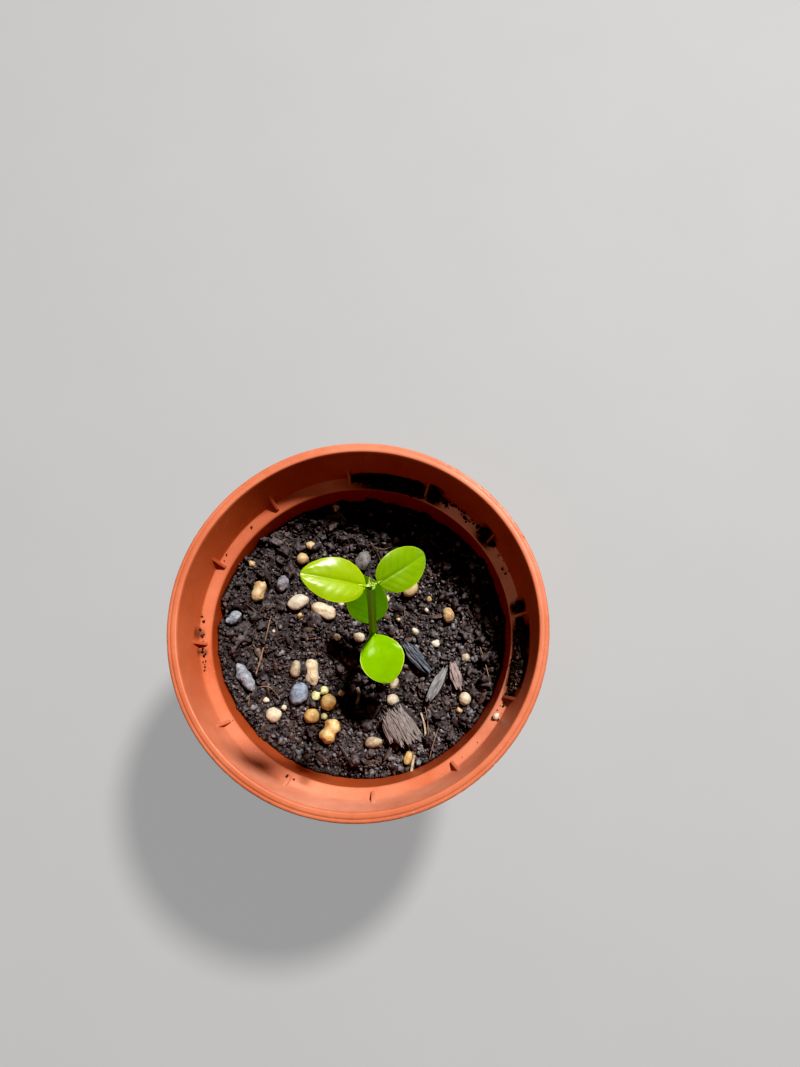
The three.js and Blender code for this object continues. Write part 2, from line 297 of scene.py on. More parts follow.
def makeStudio():
    data = bpy.data.lights.new("key", "AREA")
    data.shape = "DISK"
    data.size = studio["keySize"]
    data.energy = studio["keyPower"]
    data.color = studio["keyColour"]
    key = bpy.data.objects.new("key", data)
    towards = Vector(studio["keyTowards"]).normalized()
    key.location = towards * studio["keyDistance"] + Vector((0, 0, cadBox[1].z / 2))
    key.rotation_euler = towards.to_track_quat("Z", "Y").to_euler()
    scene.collection.objects.link(key)

    world = bpy.data.worlds.new("studio")
    world.use_nodes = True
    background = world.node_tree.nodes["Background"]
    background.inputs["Color"].default_value = opaque(studio["fillColour"])
    background.inputs["Strength"].default_value = studio["fillStrength"]
    scene.world = world

    bm = bmesh.new()
    bmesh.ops.create_grid(bm, x_segments=1, y_segments=1, size=studio["floorSize"])
    floor = temporary("floor", bm)
    paint = newMaterial("floorPaint", {
        "Roughness": 0.7, "Specular IOR Level": 0.2, "Emission Color": (1, 1, 1, 1),
        "Emission Strength": studio["floorGlow"]})
    colour = studio["floorColour"]
    tone = cloud(paint, pointsOf(paint), 60, 3)
    plugIn(paint, "Base Color", ramp(paint, tone, [(0.3, dimmed(colour, 0.96)), (0.7, colour)]))
    floor.data.materials.append(paint)
    view = scene.view_settings
    view.view_transform = "Standard"
    view.use_curve_mapping = True
    for x, y in studio["curve"]:
        view.curve_mapping.curves[3].points.new(x, y)
    view.curve_mapping.update()


makeStudio()
print("studio ready")

# The pot's sizes, which the compost and the ledge's crumbs follow too

pot = {
    "height": 87, "wall": 1.2, "steps": 400,
    "lipInner": 50, "lipOuter": 52.8, "lipThickness": 2.5,
    "grooveRadius": 51.7, "grooveDepth": 0.04, "beadDrop": 0.2,
    "crease": (47.3, 14.6), "ledge": (44.2, 16.9),  # radius, depth under the rim
    "base": 38, "floorTop": 2.4, "recess": 1, "hub": 11, "hubInner": 6, "footInner": 33,
    "gateRadius": 1.6, "gateZ": 0.35, "dishRadius": 5, "dishZ": 0.8,
    "ribs": 12, "ribFirst": -5, "ribThickness": 1.0, "ribTop": 8.2, "ribNose": 1,
    "holes": 8, "holeRadius": 3.5, "holeRing": 25, "notches": 4, "notchWidth": 6, "notchLength": 10,
    "nicks": (22, 66), "nickDepth": 0.4, "fine": 0.9, "dirtDepth": 44, "dampDepth": 50,
}
rimZ = pot["height"]
creaseRadius, creaseDepth = pot["crease"]
ledgeRadius, ledgeDepth = pot["ledge"]


def collarInner(z):
    return mix(pot["lipInner"], creaseRadius, (rimZ - z) / creaseDepth)


def ledgeHeight(radius):
    inward = (creaseRadius - radius) / (creaseRadius - ledgeRadius)
    return rimZ - mix(creaseDepth, ledgeDepth, inward)


def wallInner(z):
    up = (z - pot["floorTop"]) / (rimZ - ledgeDepth - pot["floorTop"])
    return mix(pot["base"] - pot["wall"], ledgeRadius, up)


# Compost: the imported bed's own level, with lumps and crumbs over it

bed = {
    "size": 44.5, "cells": 300, "edge": 41.2, "edgeStep": 1.5, "reach": 44, "wallGap": 0.05,
    "cutDepth": 34, "seatMargin": 0.8, "stemMargin": 2.3, "fills": 90, "blurs": 4, "calmBlurs": 8,
    "lumps": [(8, 1.6), (3.6, 1.7), (1.7, 0.8), (0.8, 0.3)],  # size and height
    "calmDrop": 0.6,
    "bankCompass": -90, "bankWidth": 34, "bankHeight": 1.6, "bankFrom": 34, "bankSlope": 7,
}
hollow = {"centre": (-2, -14.5), "radii": (7.5, 10.5)}  # where no pale crumbs lie, which darkens the hollow as painted shade
looseNodes = [n for n in sorted(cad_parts)
              if n.startswith(("bead_", "stone_")) or n.endswith("_chip")]


def footprint(node):  # the centre, the two axes and the half sizes of a thing seen from above
    places = np.array([v.co.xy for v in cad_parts[node].data.vertices]) / mm
    centre = (places.min(0) + places.max(0)) / 2
    axes = np.linalg.eigh(np.cov((places - centre).T))[1]
    return centre, axes, np.abs((places - centre) @ axes).max(0)


footprints = [footprint(node) for node in looseNodes]
looseCentres = np.array([shape[0] for shape in footprints])
looseAxes = np.array([shape[1] for shape in footprints])
looseHalves = np.array([shape[2] for shape in footprints])


def onLoose(x, y, margin):  # whether a place lies on a loose thing, widened by the margin
    away = np.einsum("ni,nij->nj", np.array([x, y]) - looseCentres, looseAxes)
    return bool(((away / (looseHalves + margin)) ** 2).sum(1).min() < 1)


def blurred(level):
    wide = np.pad(level, 1, mode="edge")
    return (wide[:-2, 1:-1] + wide[2:, 1:-1] + wide[1:-1, :-2] + wide[1:-1, 2:]
            + 2 * level) / 6


def stemFoot():  # where the stem leaves the compost
    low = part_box("stem")[0]
    foot = [v.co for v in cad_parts["stem"].data.vertices if v.co.z < low.z + mm]
    return sum(foot, Vector()) / len(foot) / mm


def packedLevel(tree, x, y):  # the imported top's height, carried on to the wall
    radius = math.hypot(x, y)
    heights = []
    for limit in (bed["edge"], bed["edge"] - bed["edgeStep"]):
        share = min(1, limit / max(radius, 1e-3))
        above = Vector((x * share, y * share, 2 * rimZ)) * mm
        heights.append(tree.ray_cast(above, Vector((0, 0, -1)))[0].z / mm)
    rise = (heights[0] - heights[1]) / bed["edgeStep"]
    return heights[0] + rise * within(radius - bed["edge"], 0, bed["reach"] - bed["edge"])


def inShadedHollow(x, y):
    across, along = [(place - middle) / radius for place, middle, radius
                     in zip((x, y), hollow["centre"], hollow["radii"])]
    return math.hypot(across, along) < 1


def bedLevels():  # the level on a square net with its seats filled, and how calm it is there
    tree = BVHTree.FromObject(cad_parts["compost"], bpy.context.evaluated_depsgraph_get())
    steps = np.linspace(-bed["size"], bed["size"], bed["cells"] + 1)
    level = np.array([[packedLevel(tree, x, y) for x in steps] for y in steps])
    seat = np.array([[onLoose(x, y, bed["seatMargin"]) for x in steps] for y in steps])
    foot = stemFoot()
    seat |= np.hypot(steps[None, :] - foot.x, steps[:, None] - foot.y) < bed["stemMargin"]
    filled = level.copy()
    filled[seat] = level[~seat].mean()
    for _ in range(bed["fills"]):
        filled[seat] = blurred(filled)[seat]
    for _ in range(bed["blurs"]):
        filled = blurred(filled)
    calm = seat.astype(float)
    for _ in range(bed["calmBlurs"]):
        calm = blurred(calm)
    return filled, calm


bedLevel, bedCalm = bedLevels()


def bedHeight(x, y):  # the finished top, with its lumps, which leave the loose things free
    spacing = 2 * bed["size"] / bed["cells"]
    i = within(round((x + bed["size"]) / spacing), 0, bed["cells"])
    j = within(round((y + bed["size"]) / spacing), 0, bed["cells"])
    point = Vector((x, y, 0))
    calm = bedCalm[j, i]
    z = bedLevel[j, i] - bed["calmDrop"] * calm
    bank = bell(apart(compassOf(point), bed["bankCompass"]), bed["bankWidth"])
    z += bed["bankHeight"] * bank * within((point.length - bed["bankFrom"]) / bed["bankSlope"])
    for size, height in bed["lumps"]:
        shape = waves(point, size) if size > 5 else bumps(point, size)
        z += height * shape * (1 - calm if size > 1 else 1)
    return z


def peatPaint(name, dark, light, gloss=0.75):
    paint = newMaterial(name, {"Specular IOR Level": 0.4})
    points = pointsOf(paint)
    tone = cloud(paint, points, 2.2, 6, 0.7)
    base = ramp(paint, tone, [(0.36, dark), (0.64, light)])
    damp = spread(paint, cloud(paint, points, 1.4, 4), 0.35, 0.7, gloss - 0.25, gloss + 0.15)
    return finishPaint(paint, base, damp,
                       bump(paint, cloud(paint, points, 0.25, 5, 0.7), 0.12, 0.8))


def makeBed():
    bm = bmesh.new()
    bmesh.ops.create_grid(bm, x_segments=bed["cells"], y_segments=bed["cells"], size=bed["size"])
    outside = [v for v in bm.verts if v.co.xy.length > wallInner(rimZ - bed["cutDepth"]) - 0.1]
    bmesh.ops.delete(bm, geom=outside, context="VERTS")
    for v in bm.verts:
        v.co.z = bedHeight(v.co.x, v.co.y)
    rim = openEdges(bm)
    for v in {v for edge in rim for v in edge.verts}:
        v.co.xy = v.co.xy.normalized() * (wallInner(v.co.z) - bed["wallGap"])
    bottom = pot["floorTop"] + bed["wallGap"]
    for v in vertsOf(bmesh.ops.extrude_edge_only(bm, edges=rim)["geom"]):
        v.co.xy = v.co.xy.normalized() * (wallInner(bottom) - bed["wallGap"])
        v.co.z = bottom
    bmesh.ops.holes_fill(bm, edges=openEdges(bm), sides=0)
    paint = peatPaint("peat", (0.010, 0.009, 0.010), (0.10, 0.082, 0.084))
    finishPiece("compostBed", bm, paint, ["compost"])


makeBed()
print("compost bed ready")

# Pot: a spun plastic wall with a ledge, a wider collar, a lip, ribs, drain holes and feet

dirtPlaces = [  # compass, its spread, the depths under the rim between which it lies, strength
    (10, 13, 11.8, 17.4, 0.95), (28, 3.5, 9.5, 17, 0.8), (53, 4, 9.5, 17, 0.7),
    (82, 2.5, 9.5, 17, 0.7), (93, 6, 8, 17, 0.8), (105, 9, 7.5, 17, 0.85),
    (-91.5, 2.2, 10.5, 16, 0.46), (-98, 1.5, 12.5, 16.5, 0.46),
    (-160, 3, 15, 17.5, 0.35), (114, 2, 10, 16.5, 0.6),
]
dustAndSheen = {  # a pale bloom, partly dust and partly painted sheen and painted sky reflection: compass, its spread and strength on the collar, and on the ledge
    "collar": (-180, 62, 0.6), "ledge": [(58, 75, 1.0), (-60, 45, 0.25), (-165, 48, 0.4)],
    "lip": 0.16, "lipMore": (25, 70, 0.1),
}
sunlitDryStretch = (-160, 55, 0.75)  # the stretch where the wall is least darkened, on its sunlit side, partly a drier wall and partly painted light: compass, its spread, how much lighter


def potProfile():  # radius, height and the size of the rounding of each corner
    wall = pot["wall"]
    lipZ = rimZ - pot["lipThickness"]
    beadZ = rimZ - pot["beadDrop"]
    groove = pot["grooveRadius"]
    return [
        (0, pot["gateZ"], 0), (pot["gateRadius"], pot["gateZ"], 0.2),
        (pot["gateRadius"] + 0.6, pot["dishZ"], 0.2), (pot["dishRadius"], pot["dishZ"], 0.3),
        (pot["hubInner"], 0, 0.3), (pot["hub"], 0, 0.3),
        (pot["hub"] + 1, pot["recess"], 0.3), (pot["footInner"] - 1, pot["recess"], 0.3),
        (pot["footInner"], 0, 0.3), (pot["base"], 0, 0.8),
        (ledgeRadius + wall, rimZ - ledgeDepth - wall, 0.6),
        (creaseRadius + wall, rimZ - creaseDepth - wall, 0.7),
        (collarInner(lipZ) + wall, lipZ, 0.6),
        (pot["lipOuter"], lipZ, 0.8), (pot["lipOuter"], beadZ, 0.55),
        (groove + 0.35, beadZ, 0.2), (groove, beadZ - pot["grooveDepth"], 0.15),
        (groove - 0.3, rimZ, 0.2), (pot["lipInner"], rimZ, 0.4),
        (creaseRadius, rimZ - creaseDepth, 0.35), (ledgeRadius, rimZ - ledgeDepth, 0.55),
        (wallInner(pot["floorTop"]), pot["floorTop"], 1.2), (0, pot["floorTop"], 0),
    ]


def potShell():
    bm = bmesh.new()
    corners = []
    for radius, z, rounding in potProfile():
        corners.append((bm.verts.new((radius, 0, z)), rounding))
    for (first, _), (second, _) in zip(corners, corners[1:]):
        bm.edges.new((first, second))
    for corner, rounding in corners:
        if rounding:
            bmesh.ops.bevel(bm, geom=[corner], offset=rounding, offset_type="OFFSET",
                            affect="VERTICES", segments=3, profile=0.5, material=-1)
    for edge in bm.edges[:]:
        if edge.calc_length() > 2 * pot["fine"] and min(v.co.z for v in edge.verts) > 2:
            cuts = min(90, int(edge.calc_length() / pot["fine"]))
            bmesh.ops.subdivide_edges(bm, edges=[edge], cuts=cuts)
    bmesh.ops.spin(bm, geom=bm.verts[:] + bm.edges[:], cent=(0, 0, 0), axis=(0, 0, 1),
                   angle=2 * math.pi, steps=pot["steps"], use_merge=True)
    bmesh.ops.remove_doubles(bm, verts=bm.verts, dist=1e-4)
    bmesh.ops.recalc_face_normals(bm, faces=bm.faces)
    return bm


def wearLip(bm):  # small cuts and burrs on the outer edge of the lip, most of them on one side
    low, high = pot["nicks"]
    for v in bm.verts:
        radius = v.co.xy.length
        if radius < pot["grooveRadius"] or v.co.z < rimZ - 2.2:
            continue
        compass = compassOf(v.co)
        worn = 1 if low < compass < high else 0.25
        cut = max(0, noise.noise(Vector((compass * 1.3, v.co.z * 0.8, 3))) - 0.12)
        burr = noise.noise(Vector((compass * 0.45, v.co.z, 9)))
        drop = pot["nickDepth"] * worn * (1.6 * cut + 0.25 * abs(burr))
        v.co.xy *= 1 - drop / radius
        v.co.z -= 0.5 * drop


def ribInto(bm, compass):
    embed = pot["wall"] / 2
    nose = ledgeRadius + pot["ribNose"]
    topZ = rimZ - pot["ribTop"]
    outline = [
        (collarInner(topZ) + embed, topZ), (nose, ledgeHeight(nose) + pot["ribNose"]),
        (nose, ledgeHeight(nose) - embed),
        (creaseRadius + embed, ledgeHeight(creaseRadius) - embed),
    ]
    half = pot["ribThickness"] / 2
    corners = [bm.verts.new((radius, -half, z)) for radius, z in outline]
    face = bm.faces.new(corners)
    added = vertsOf(bmesh.ops.extrude_face_region(bm, geom=[face])["geom"])
    bmesh.ops.translate(bm, verts=added, vec=(0, 2 * half, 0))
    edges = list({edge for v in corners + added for edge in v.link_edges})
    rounded = bmesh.ops.bevel(bm, geom=edges, offset=0.2, affect="EDGES", segments=2,
                              profile=0.5, material=-1)
    shape = {v for face in rounded["faces"] for v in face.verts}
    turnUpright(bm, list(shape), 90 - compass)


def cutters():  # the drain holes and the notches under the foot ring
    bm = bmesh.new()
    for i in range(pot["holes"]):
        made = bmesh.ops.create_cone(
            bm, cap_ends=True, segments=40, radius1=pot["holeRadius"],
            radius2=pot["holeRadius"], depth=3 * pot["floorTop"])["verts"]
        bmesh.ops.translate(bm, verts=made, vec=(pot["holeRing"], 0, 0))
        turnUpright(bm, made, 360 * i / pot["holes"])
    for i in range(pot["notches"]):
        made = bmesh.ops.create_cube(bm, size=1)["verts"]
        bmesh.ops.scale(bm, vec=(pot["notchLength"], pot["notchWidth"], 2 * pot["recess"]),
                        verts=made)
        bmesh.ops.translate(bm, vec=(pot["base"], 0, 0), verts=made)
        turnUpright(bm, made, 360 * (i + 0.5) / pot["notches"])
    return bm


def combined(body, other, operation):
    modifier = body.modifiers.new(operation, "BOOLEAN")
    modifier.operation = operation
    modifier.solver = "MANIFOLD"
    modifier.object = other


def potDirt(point):  # how much compost clings to the inside there, from 0 to 1
    radius = point.xy.length
    if radius > collarInner(point.z) + 0.4 or point.z < rimZ - pot["dirtDepth"]:
        return 0
    depth = rimZ - point.z
    amount = 0
    for compass, width, high, low, strength in dirtPlaces:
        edge = within((depth - high) / 0.8) * within((low - depth) / 0.6)
        amount = max(amount, strength * edge * bell(apart(compassOf(point), compass), width))
    if depth > ledgeDepth + 1:
        above = point.z - bedHeight(point.x * 0.97, point.y * 0.97)
        amount = max(amount, 0.75 * bell(max(0, above), 1.6))
    return amount


# partly dust, partly painted sheen: paler on the lit lip, collar and ledge, with a painted sky
# reflection on the shaded ledge
def potDustAndSheen(point):
    if point.z > rimZ - 0.5:
        middle, width, strength = dustAndSheen["lipMore"]
        return dustAndSheen["lip"] + strength * bell(apart(compassOf(point), middle), width)
    if point.xy.length > collarInner(point.z) + 0.4 or point.xy.length < ledgeRadius - 0.05:
        return 0
    places = dustAndSheen["ledge"] if point.z < rimZ - creaseDepth + 0.1 else [dustAndSheen["collar"]]
    return max(strength * bell(apart(compassOf(point), compass), width)
               for compass, width, strength in places)


def potWetAndShade(point):  # the wall under the ledge is darker, partly a wet colour and partly painted shade, least so on its sunlit stretch
    if point.xy.length > ledgeRadius + 0.1 or point.z < rimZ - pot["dampDepth"]:
        return 0
    middle, width, strength = sunlitDryStretch
    share = strength * bell(apart(compassOf(point), middle), width)
    return within((rimZ - ledgeDepth - point.z) / 0.8) * (1 - share)


plastic = {
    "dark": (0.49, 0.112, 0.041), "light": (0.57, 0.145, 0.056), "scuff": (0.85, 0.6, 0.5),
    "paleDustAndSheen": (0.93, 0.46, 0.33), "wetAndShade": (0.34, 0.062, 0.014), "stain": (0.15, 0.05, 0.028),
    "film": (0.03, 0.018, 0.014), "specks": (0.09, 0.03, 0.02),
}


def plasticPaint():
    paint = newMaterial("potPlastic", {
        "Specular IOR Level": 0.3, **translucent(0.06, 1.2, (1, 0.3, 0.1))})
    points = pointsOf(paint)
    tone = cloud(paint, points, 14, 5)
    base = ramp(paint, tone, [(0.3, plastic["dark"]), (0.7, plastic["light"])])
    speckle = spread(paint, cloud(paint, points, 0.5, 2), 0.68, 0.72)
    patch = spread(paint, cloud(paint, points, 9, 3), 0.48, 0.62)
    base = blend(paint, times(paint, speckle, times(paint, patch, 0.7)), base,
                 opaque(plastic["scuff"]))
    # the pale bloom is partly dust and partly painted sheen and reflection
    paleDustAndSheen = times(paint, valueOf(paint, "dustAndSheen"), spread(paint, tone, 0.3, 0.7, 0.7, 1.2))
    base = blend(paint, paleDustAndSheen, base, opaque(plastic["paleDustAndSheen"]))
    # partly a wet colour and partly painted shade on the wall under the ledge
    wetAndShade = times(paint, valueOf(paint, "damp"), spread(paint, tone, 0.3, 0.7, 0.6, 1))
    base = blend(paint, wetAndShade, base, opaque(plastic["wetAndShade"]))
    grime = cloud(paint, points, 0.9, 6, 0.72)
    dirt = valueOf(paint, "dirt")
    stain = spread(paint, dirt, 0.03, 0.5, 0, 0.75)
    base = blend(paint, stain, base, opaque(plastic["stain"]))
    film = spread(paint, plus(paint, dirt, times(paint, grime, 1.2)), 0.98, 1.3)
    base = blend(paint, times(paint, film, 0.92), base, opaque(plastic["film"]))
    dots = spread(paint, cloud(paint, points, 0.6, 2, 0.5), 0.72, 0.74)
    rare = spread(paint, cloud(paint, points, 7, 2), 0.55, 0.62)
    base = blend(paint, times(paint, dots, times(paint, rare, 0.8)), base,
                 opaque(plastic["specks"]))
    gloss = spread(paint, cloud(paint, points, 3, 4), 0.3, 0.75, 0.36, 0.48)
    rough = plus(paint, gloss, times(paint, film, 0.4))
    grain = bump(paint, cloud(paint, points, 0.5, 3), 0.03, 0.5)
    scratch = cloud(paint, pointsOf(paint, (0.35, 2.2, 1), 35), 1, 4)
    return finishPaint(paint, base, rough, bump(paint, scratch, 0.03, 0.4, grain))


def makePot():
    shell = potShell()
    wearLip(shell)
    ribs = bmesh.new()
    for i in range(pot["ribs"]):
        ribInto(ribs, pot["ribFirst"] + i * 360 / pot["ribs"])
    body = temporary("potBody", shell)
    fins = temporary("potFins", ribs)
    holes = temporary("potHoles", cutters())
    combined(body, fins, "UNION")
    combined(body, holes, "DIFFERENCE")
    shape = body.evaluated_get(bpy.context.evaluated_depsgraph_get())
    bm = bmesh.new()
    bm.from_mesh(shape.to_mesh())
    for helper in (body, fins, holes):
        bpy.data.objects.remove(helper)
    dirt = bm.verts.layers.float.new("dirt")
    paleDustAndSheen = bm.verts.layers.float.new("dustAndSheen")
    damp = bm.verts.layers.float.new("damp")
    for v in bm.verts:
        v[dirt] = potDirt(v.co)
        v[paleDustAndSheen] = potDustAndSheen(v.co)
        v[damp] = potWetAndShade(v.co)
    finishPiece("plasticPot", bm, plasticPaint(), ["pot"], 32)


makePot()
print("pot ready")

# Crumbs, granules and flakes that lie on the compost

scatterRadius = 43.2
usualCrumb = {"detail": 1, "uneven": 0.65, "flat": 0.75, "long": 1.3, "gloss": 0.6, "sit": 0.1,
              "tilt": 1, "hollow": False, "drift": 0}
# tilt is how far they tumble, and sit how high they lie, in shares of their size; drift is how
# far they keep to the right and front, and the hollow flag says whether they lie in the hollow too,
# which only dark kinds do, as painted shade
crumbKinds = [
    {"name": "crumbsDark", "count": 5000, "size": (0.4, 1.4), "flat": 0.8, "long": 1.25,
     "dark": (0.012, 0.010, 0.011), "light": (0.09, 0.075, 0.078), "gloss": 0.55, "seed": 3,
     "hollow": True},
    {"name": "crumbsBrown", "count": 3500, "size": (0.4, 1.5), "long": 1.4,
     "dark": (0.055, 0.042, 0.040), "light": (0.19, 0.152, 0.145), "seed": 4, "drift": 0.6},
    {"name": "crumbsMauve", "count": 1500, "size": (0.4, 1.6),
     "dark": (0.11, 0.10, 0.106), "light": (0.26, 0.24, 0.25), "gloss": 0.5, "seed": 8,
     "sit": 0.12, "drift": 0.9},
    {"name": "clods", "count": 360, "size": (1.8, 4.2), "detail": 3, "uneven": 0.75, "long": 1.2,
     "dark": (0.016, 0.013, 0.015), "light": (0.14, 0.116, 0.12), "seed": 5, "sit": -0.05,
     "hollow": True},
    {"name": "granulesGrey", "count": 170, "size": (0.7, 2.3), "detail": 2, "uneven": 0.5,
     "flat": 0.8, "dark": (0.12, 0.12, 0.13), "light": (0.30, 0.30, 0.32), "gloss": 0.45,
     "seed": 6, "drift": 0.9},
    {"name": "flakesBrown", "count": 110, "size": (1.0, 2.8), "detail": 2, "uneven": 0.5,
     "flat": 0.28, "long": 2.0, "dark": (0.04, 0.027, 0.022), "light": (0.18, 0.125, 0.105),
     "seed": 7, "sit": 0.12, "tilt": 0.45, "drift": 0.3},
    {"name": "glints", "count": 170, "size": (0.35, 0.9), "uneven": 0.5, "flat": 0.8,
     "long": 1.2, "dark": (0.35, 0.33, 0.32), "light": (0.55, 0.53, 0.52), "gloss": 0.4,
     "seed": 9, "sit": 0.35, "drift": 0.8},
]


def crumbShape(seed, kind):
    bm = bmesh.new()
    bmesh.ops.create_icosphere(bm, subdivisions=kind["detail"], radius=0.5)
    shift = Vector((seed * 7.3, 0, 0))
    for v in bm.verts:
        rough = noise.noise(v.co * 2.6 + shift) + 0.6 * noise.noise(v.co * 6 + shift)
        v.co *= 1 + kind["uneven"] * rough
        v.co.z *= kind["flat"]
        v.co.x *= kind["long"]
    corners = np.array([v.co for v in bm.verts])
    faces = np.array([[v.index for v in face.verts] for face in bm.faces])
    bm.free()
    return corners, faces


def joinCopies(name, shapes, placings, paint):
    points, faces, count = [], [], 0
    for choice, place, size, turn in placings:
        corners, sides = shapes[choice]
        matrix = np.array(Euler(turn).to_matrix())
        points.append(corners * size @ matrix.T + np.array(place))
        faces.append(sides + count)
        count += len(corners)
    mesh = bpy.data.meshes.new(name)
    mesh.from_pydata((np.vstack(points) * mm).tolist(), [], np.vstack(faces).tolist())
    return placePiece(name, mesh, paint, (), 100)


def randomTurn(rng, tilt=1.0):
    return (rng.uniform(-math.pi, math.pi) * tilt, rng.uniform(-1, 1) * tilt,
            rng.uniform(-math.pi, math.pi))


def scatterCrumbs(kind):
    rng = random.Random(kind["seed"])
    shapes = [crumbShape(10 * kind["seed"] + i, kind) for i in range(10)]
    small, large = kind["size"]
    placings = []
    while len(placings) < kind["count"]:
        radius = scatterRadius * math.sqrt(rng.random())
        angle = rng.uniform(0, 2 * math.pi)
        x, y = radius * math.cos(angle), radius * math.sin(angle)
        size = mix(small, large, rng.random() ** 2)
        turn = randomTurn(rng, kind["tilt"])
        lift = kind["sit"] + rng.uniform(-0.1, 0.3)
        # pale kinds stay out of the hollow, so that it is darker: painted shade
        if onLoose(x, y, 0.5 * size - 0.3) or inShadedHollow(x, y) and not kind["hollow"]:
            continue
        if rng.random() < kind["drift"] * within(0.5 - 0.012 * x + 0.012 * y):
            continue
        z = bedHeight(x, y) + lift * size
        if radius > wallInner(z) - 0.62 * size:
            continue
        placings.append((rng.randrange(len(shapes)), (x, y, z), size, turn))
    paint = peatPaint(kind["name"] + "Paint", kind["dark"], kind["light"], kind["gloss"])
    joinCopies(kind["name"], shapes, placings, paint)


for crumbKind in crumbKinds:
    scatterCrumbs({**usualCrumb, **crumbKind})
print("crumbs ready")

# Banked crumbs: compost that sticks to the wall just over the bed's edge, in ragged groups

banked = {"count": 2100, "size": (0.45, 1.8), "climb": 3.1, "seed": 31, "detail": 1,
          "uneven": 0.7, "flat": 0.85, "long": 1.2, "shapes": 8, "edge": 42,
          "usual": 0.32, "swing": 2.1, "spell": 0.16}  # how the climb comes and goes


def bankCrumbs():
    rng = random.Random(banked["seed"])
    shapes = [crumbShape(300 + i, banked) for i in range(banked["shapes"])]
    small, large = banked["size"]
    placings = []
    for _ in range(banked["count"]):
        compass = rng.uniform(-180, 180)
        spell = noise.noise(Vector((compass * banked["spell"], 5, 0)))
        ragged = banked["usual"] + banked["swing"] * spell
        size = mix(small, large, rng.random() ** 1.6)
        edge = onCompass(banked["edge"], compass, 0)
        climb = banked["climb"] * within(ragged) * rng.random() ** 1.3
        z = bedHeight(edge.x, edge.y) + 0.2 + climb
        place = onCompass(wallInner(z) - 0.45 * size, compass, z)
        placings.append((rng.randrange(len(shapes)), place, size, randomTurn(rng)))
    paint = peatPaint("bankedPeat", (0.012, 0.010, 0.011), (0.11, 0.09, 0.092), 0.6)
    joinCopies("bankedCrumbs", shapes, placings, paint)


bankCrumbs()
print("banked crumbs ready")

# Beads and stones: each packed one, made finer

usualLift = 0.4  # how far a bead or stone lies above its packed place


def smoothNode(node, cuts, lift=usualLift):
    bm = bmesh.new()
    bm.from_mesh(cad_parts[node].data)
    bmesh.ops.scale(bm, vec=(1 / mm, 1 / mm, 1 / mm), verts=bm.verts)
    bmesh.ops.remove_doubles(bm, verts=bm.verts, dist=1e-3)
    bmesh.ops.subdivide_edges(bm, edges=bm.edges, cuts=cuts, use_grid_fill=True, smooth=0.6)
    bmesh.ops.translate(bm, vec=(0, 0, lift), verts=bm.verts)
    for _ in range(2):
        bmesh.ops.smooth_vert(bm, verts=bm.verts, factor=0.5, use_axis_x=True, use_axis_y=True,
                              use_axis_z=True)
    bmesh.ops.recalc_face_normals(bm, faces=bm.faces)
    bm.normal_update()
    return bm


def roughen(bm, reliefs, shift):  # reliefs are pairs of size and height, along the normals
    moved = []
    for v in bm.verts:
        point = v.co + Vector((shift, 0, 0))
        moved.append(v.co + v.normal * sum(tall * waves(point, size) for size, tall in reliefs))
    for v, place in zip(bm.verts, moved):
        v.co = place


beadTones = {  # the colour of the patches and of the rest
    "white": ((0.54, 0.45, 0.32), (0.66, 0.61, 0.51)),
    "cream": ((0.54, 0.39, 0.22), (0.67, 0.60, 0.46)),
    "tan": ((0.40, 0.24, 0.11), (0.60, 0.46, 0.27)),
    "orange": ((0.48, 0.26, 0.08), (0.64, 0.47, 0.22)),
    "yellow": ((0.60, 0.31, 0.08), (0.74, 0.57, 0.30)),
    "dull": ((0.28, 0.20, 0.13), (0.47, 0.40, 0.29)),
    "lime": ((0.50, 0.46, 0.18), (0.78, 0.76, 0.44)),
}
beads = [  # name and tone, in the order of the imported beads
    ("backLeft", "tan"), ("pale", "white"), ("heart", "cream"), ("shaded", "tan"),
    ("behindLeaf", "tan"), ("right", "tan"), ("centre", "cream"), ("dull", "dull"),
    ("double", "cream"), ("orangeUpper", "orange"), ("orangeLower", "orange"),
    ("yellowBig", "yellow"), ("whiteTwin", "cream"), ("hollowEdge", "dull"),
    ("creamSmall", "white"), ("dullPair", "dull"), ("ochre", "orange"), ("lowRight", "cream"),
]
beadLifts = {"yellowBig": 0.95}  # its narrow waist lies clear of the lumps under it
beadReliefs = [(2.6, 0.2), (1.1, 0.12), (0.5, 0.05)]


def beadPaint(tone):
    dark, light = beadTones[tone]
    paint = newMaterial(tone + "Bead", {
        "Specular IOR Level": 0.4, **translucent(0.15, 1, (1, 0.6, 0.3))})
    points = pointsOf(paint)
    patch = cloud(paint, points, 2.4, 5, 0.6)
    base = ramp(paint, patch, [(0.36, dark), (0.52, light)])
    pores = spread(paint, cloud(paint, points, 0.5, 3), 0.62, 0.72)
    base = blend(paint, times(paint, pores, 0.4), base, opaque(dimmed(dark, 0.6)))
    rough = spread(paint, cloud(paint, points, 1, 3), 0.3, 0.7, 0.35, 0.6)
    return finishPaint(paint, base, rough, bump(paint, cloud(paint, points, 0.6, 4), 0.12, 0.6))


beadPaints = {tone: beadPaint(tone) for tone in beadTones}
for index, (title, tone) in enumerate(beads):
    node = "bead_%d" % (index + 1)
    beadMesh = smoothNode(node, 3, beadLifts.get(title, usualLift))
    roughen(beadMesh, beadReliefs, 11.3 * index)
    finishPiece("bead_" + title, beadMesh, beadPaints[tone], [node])


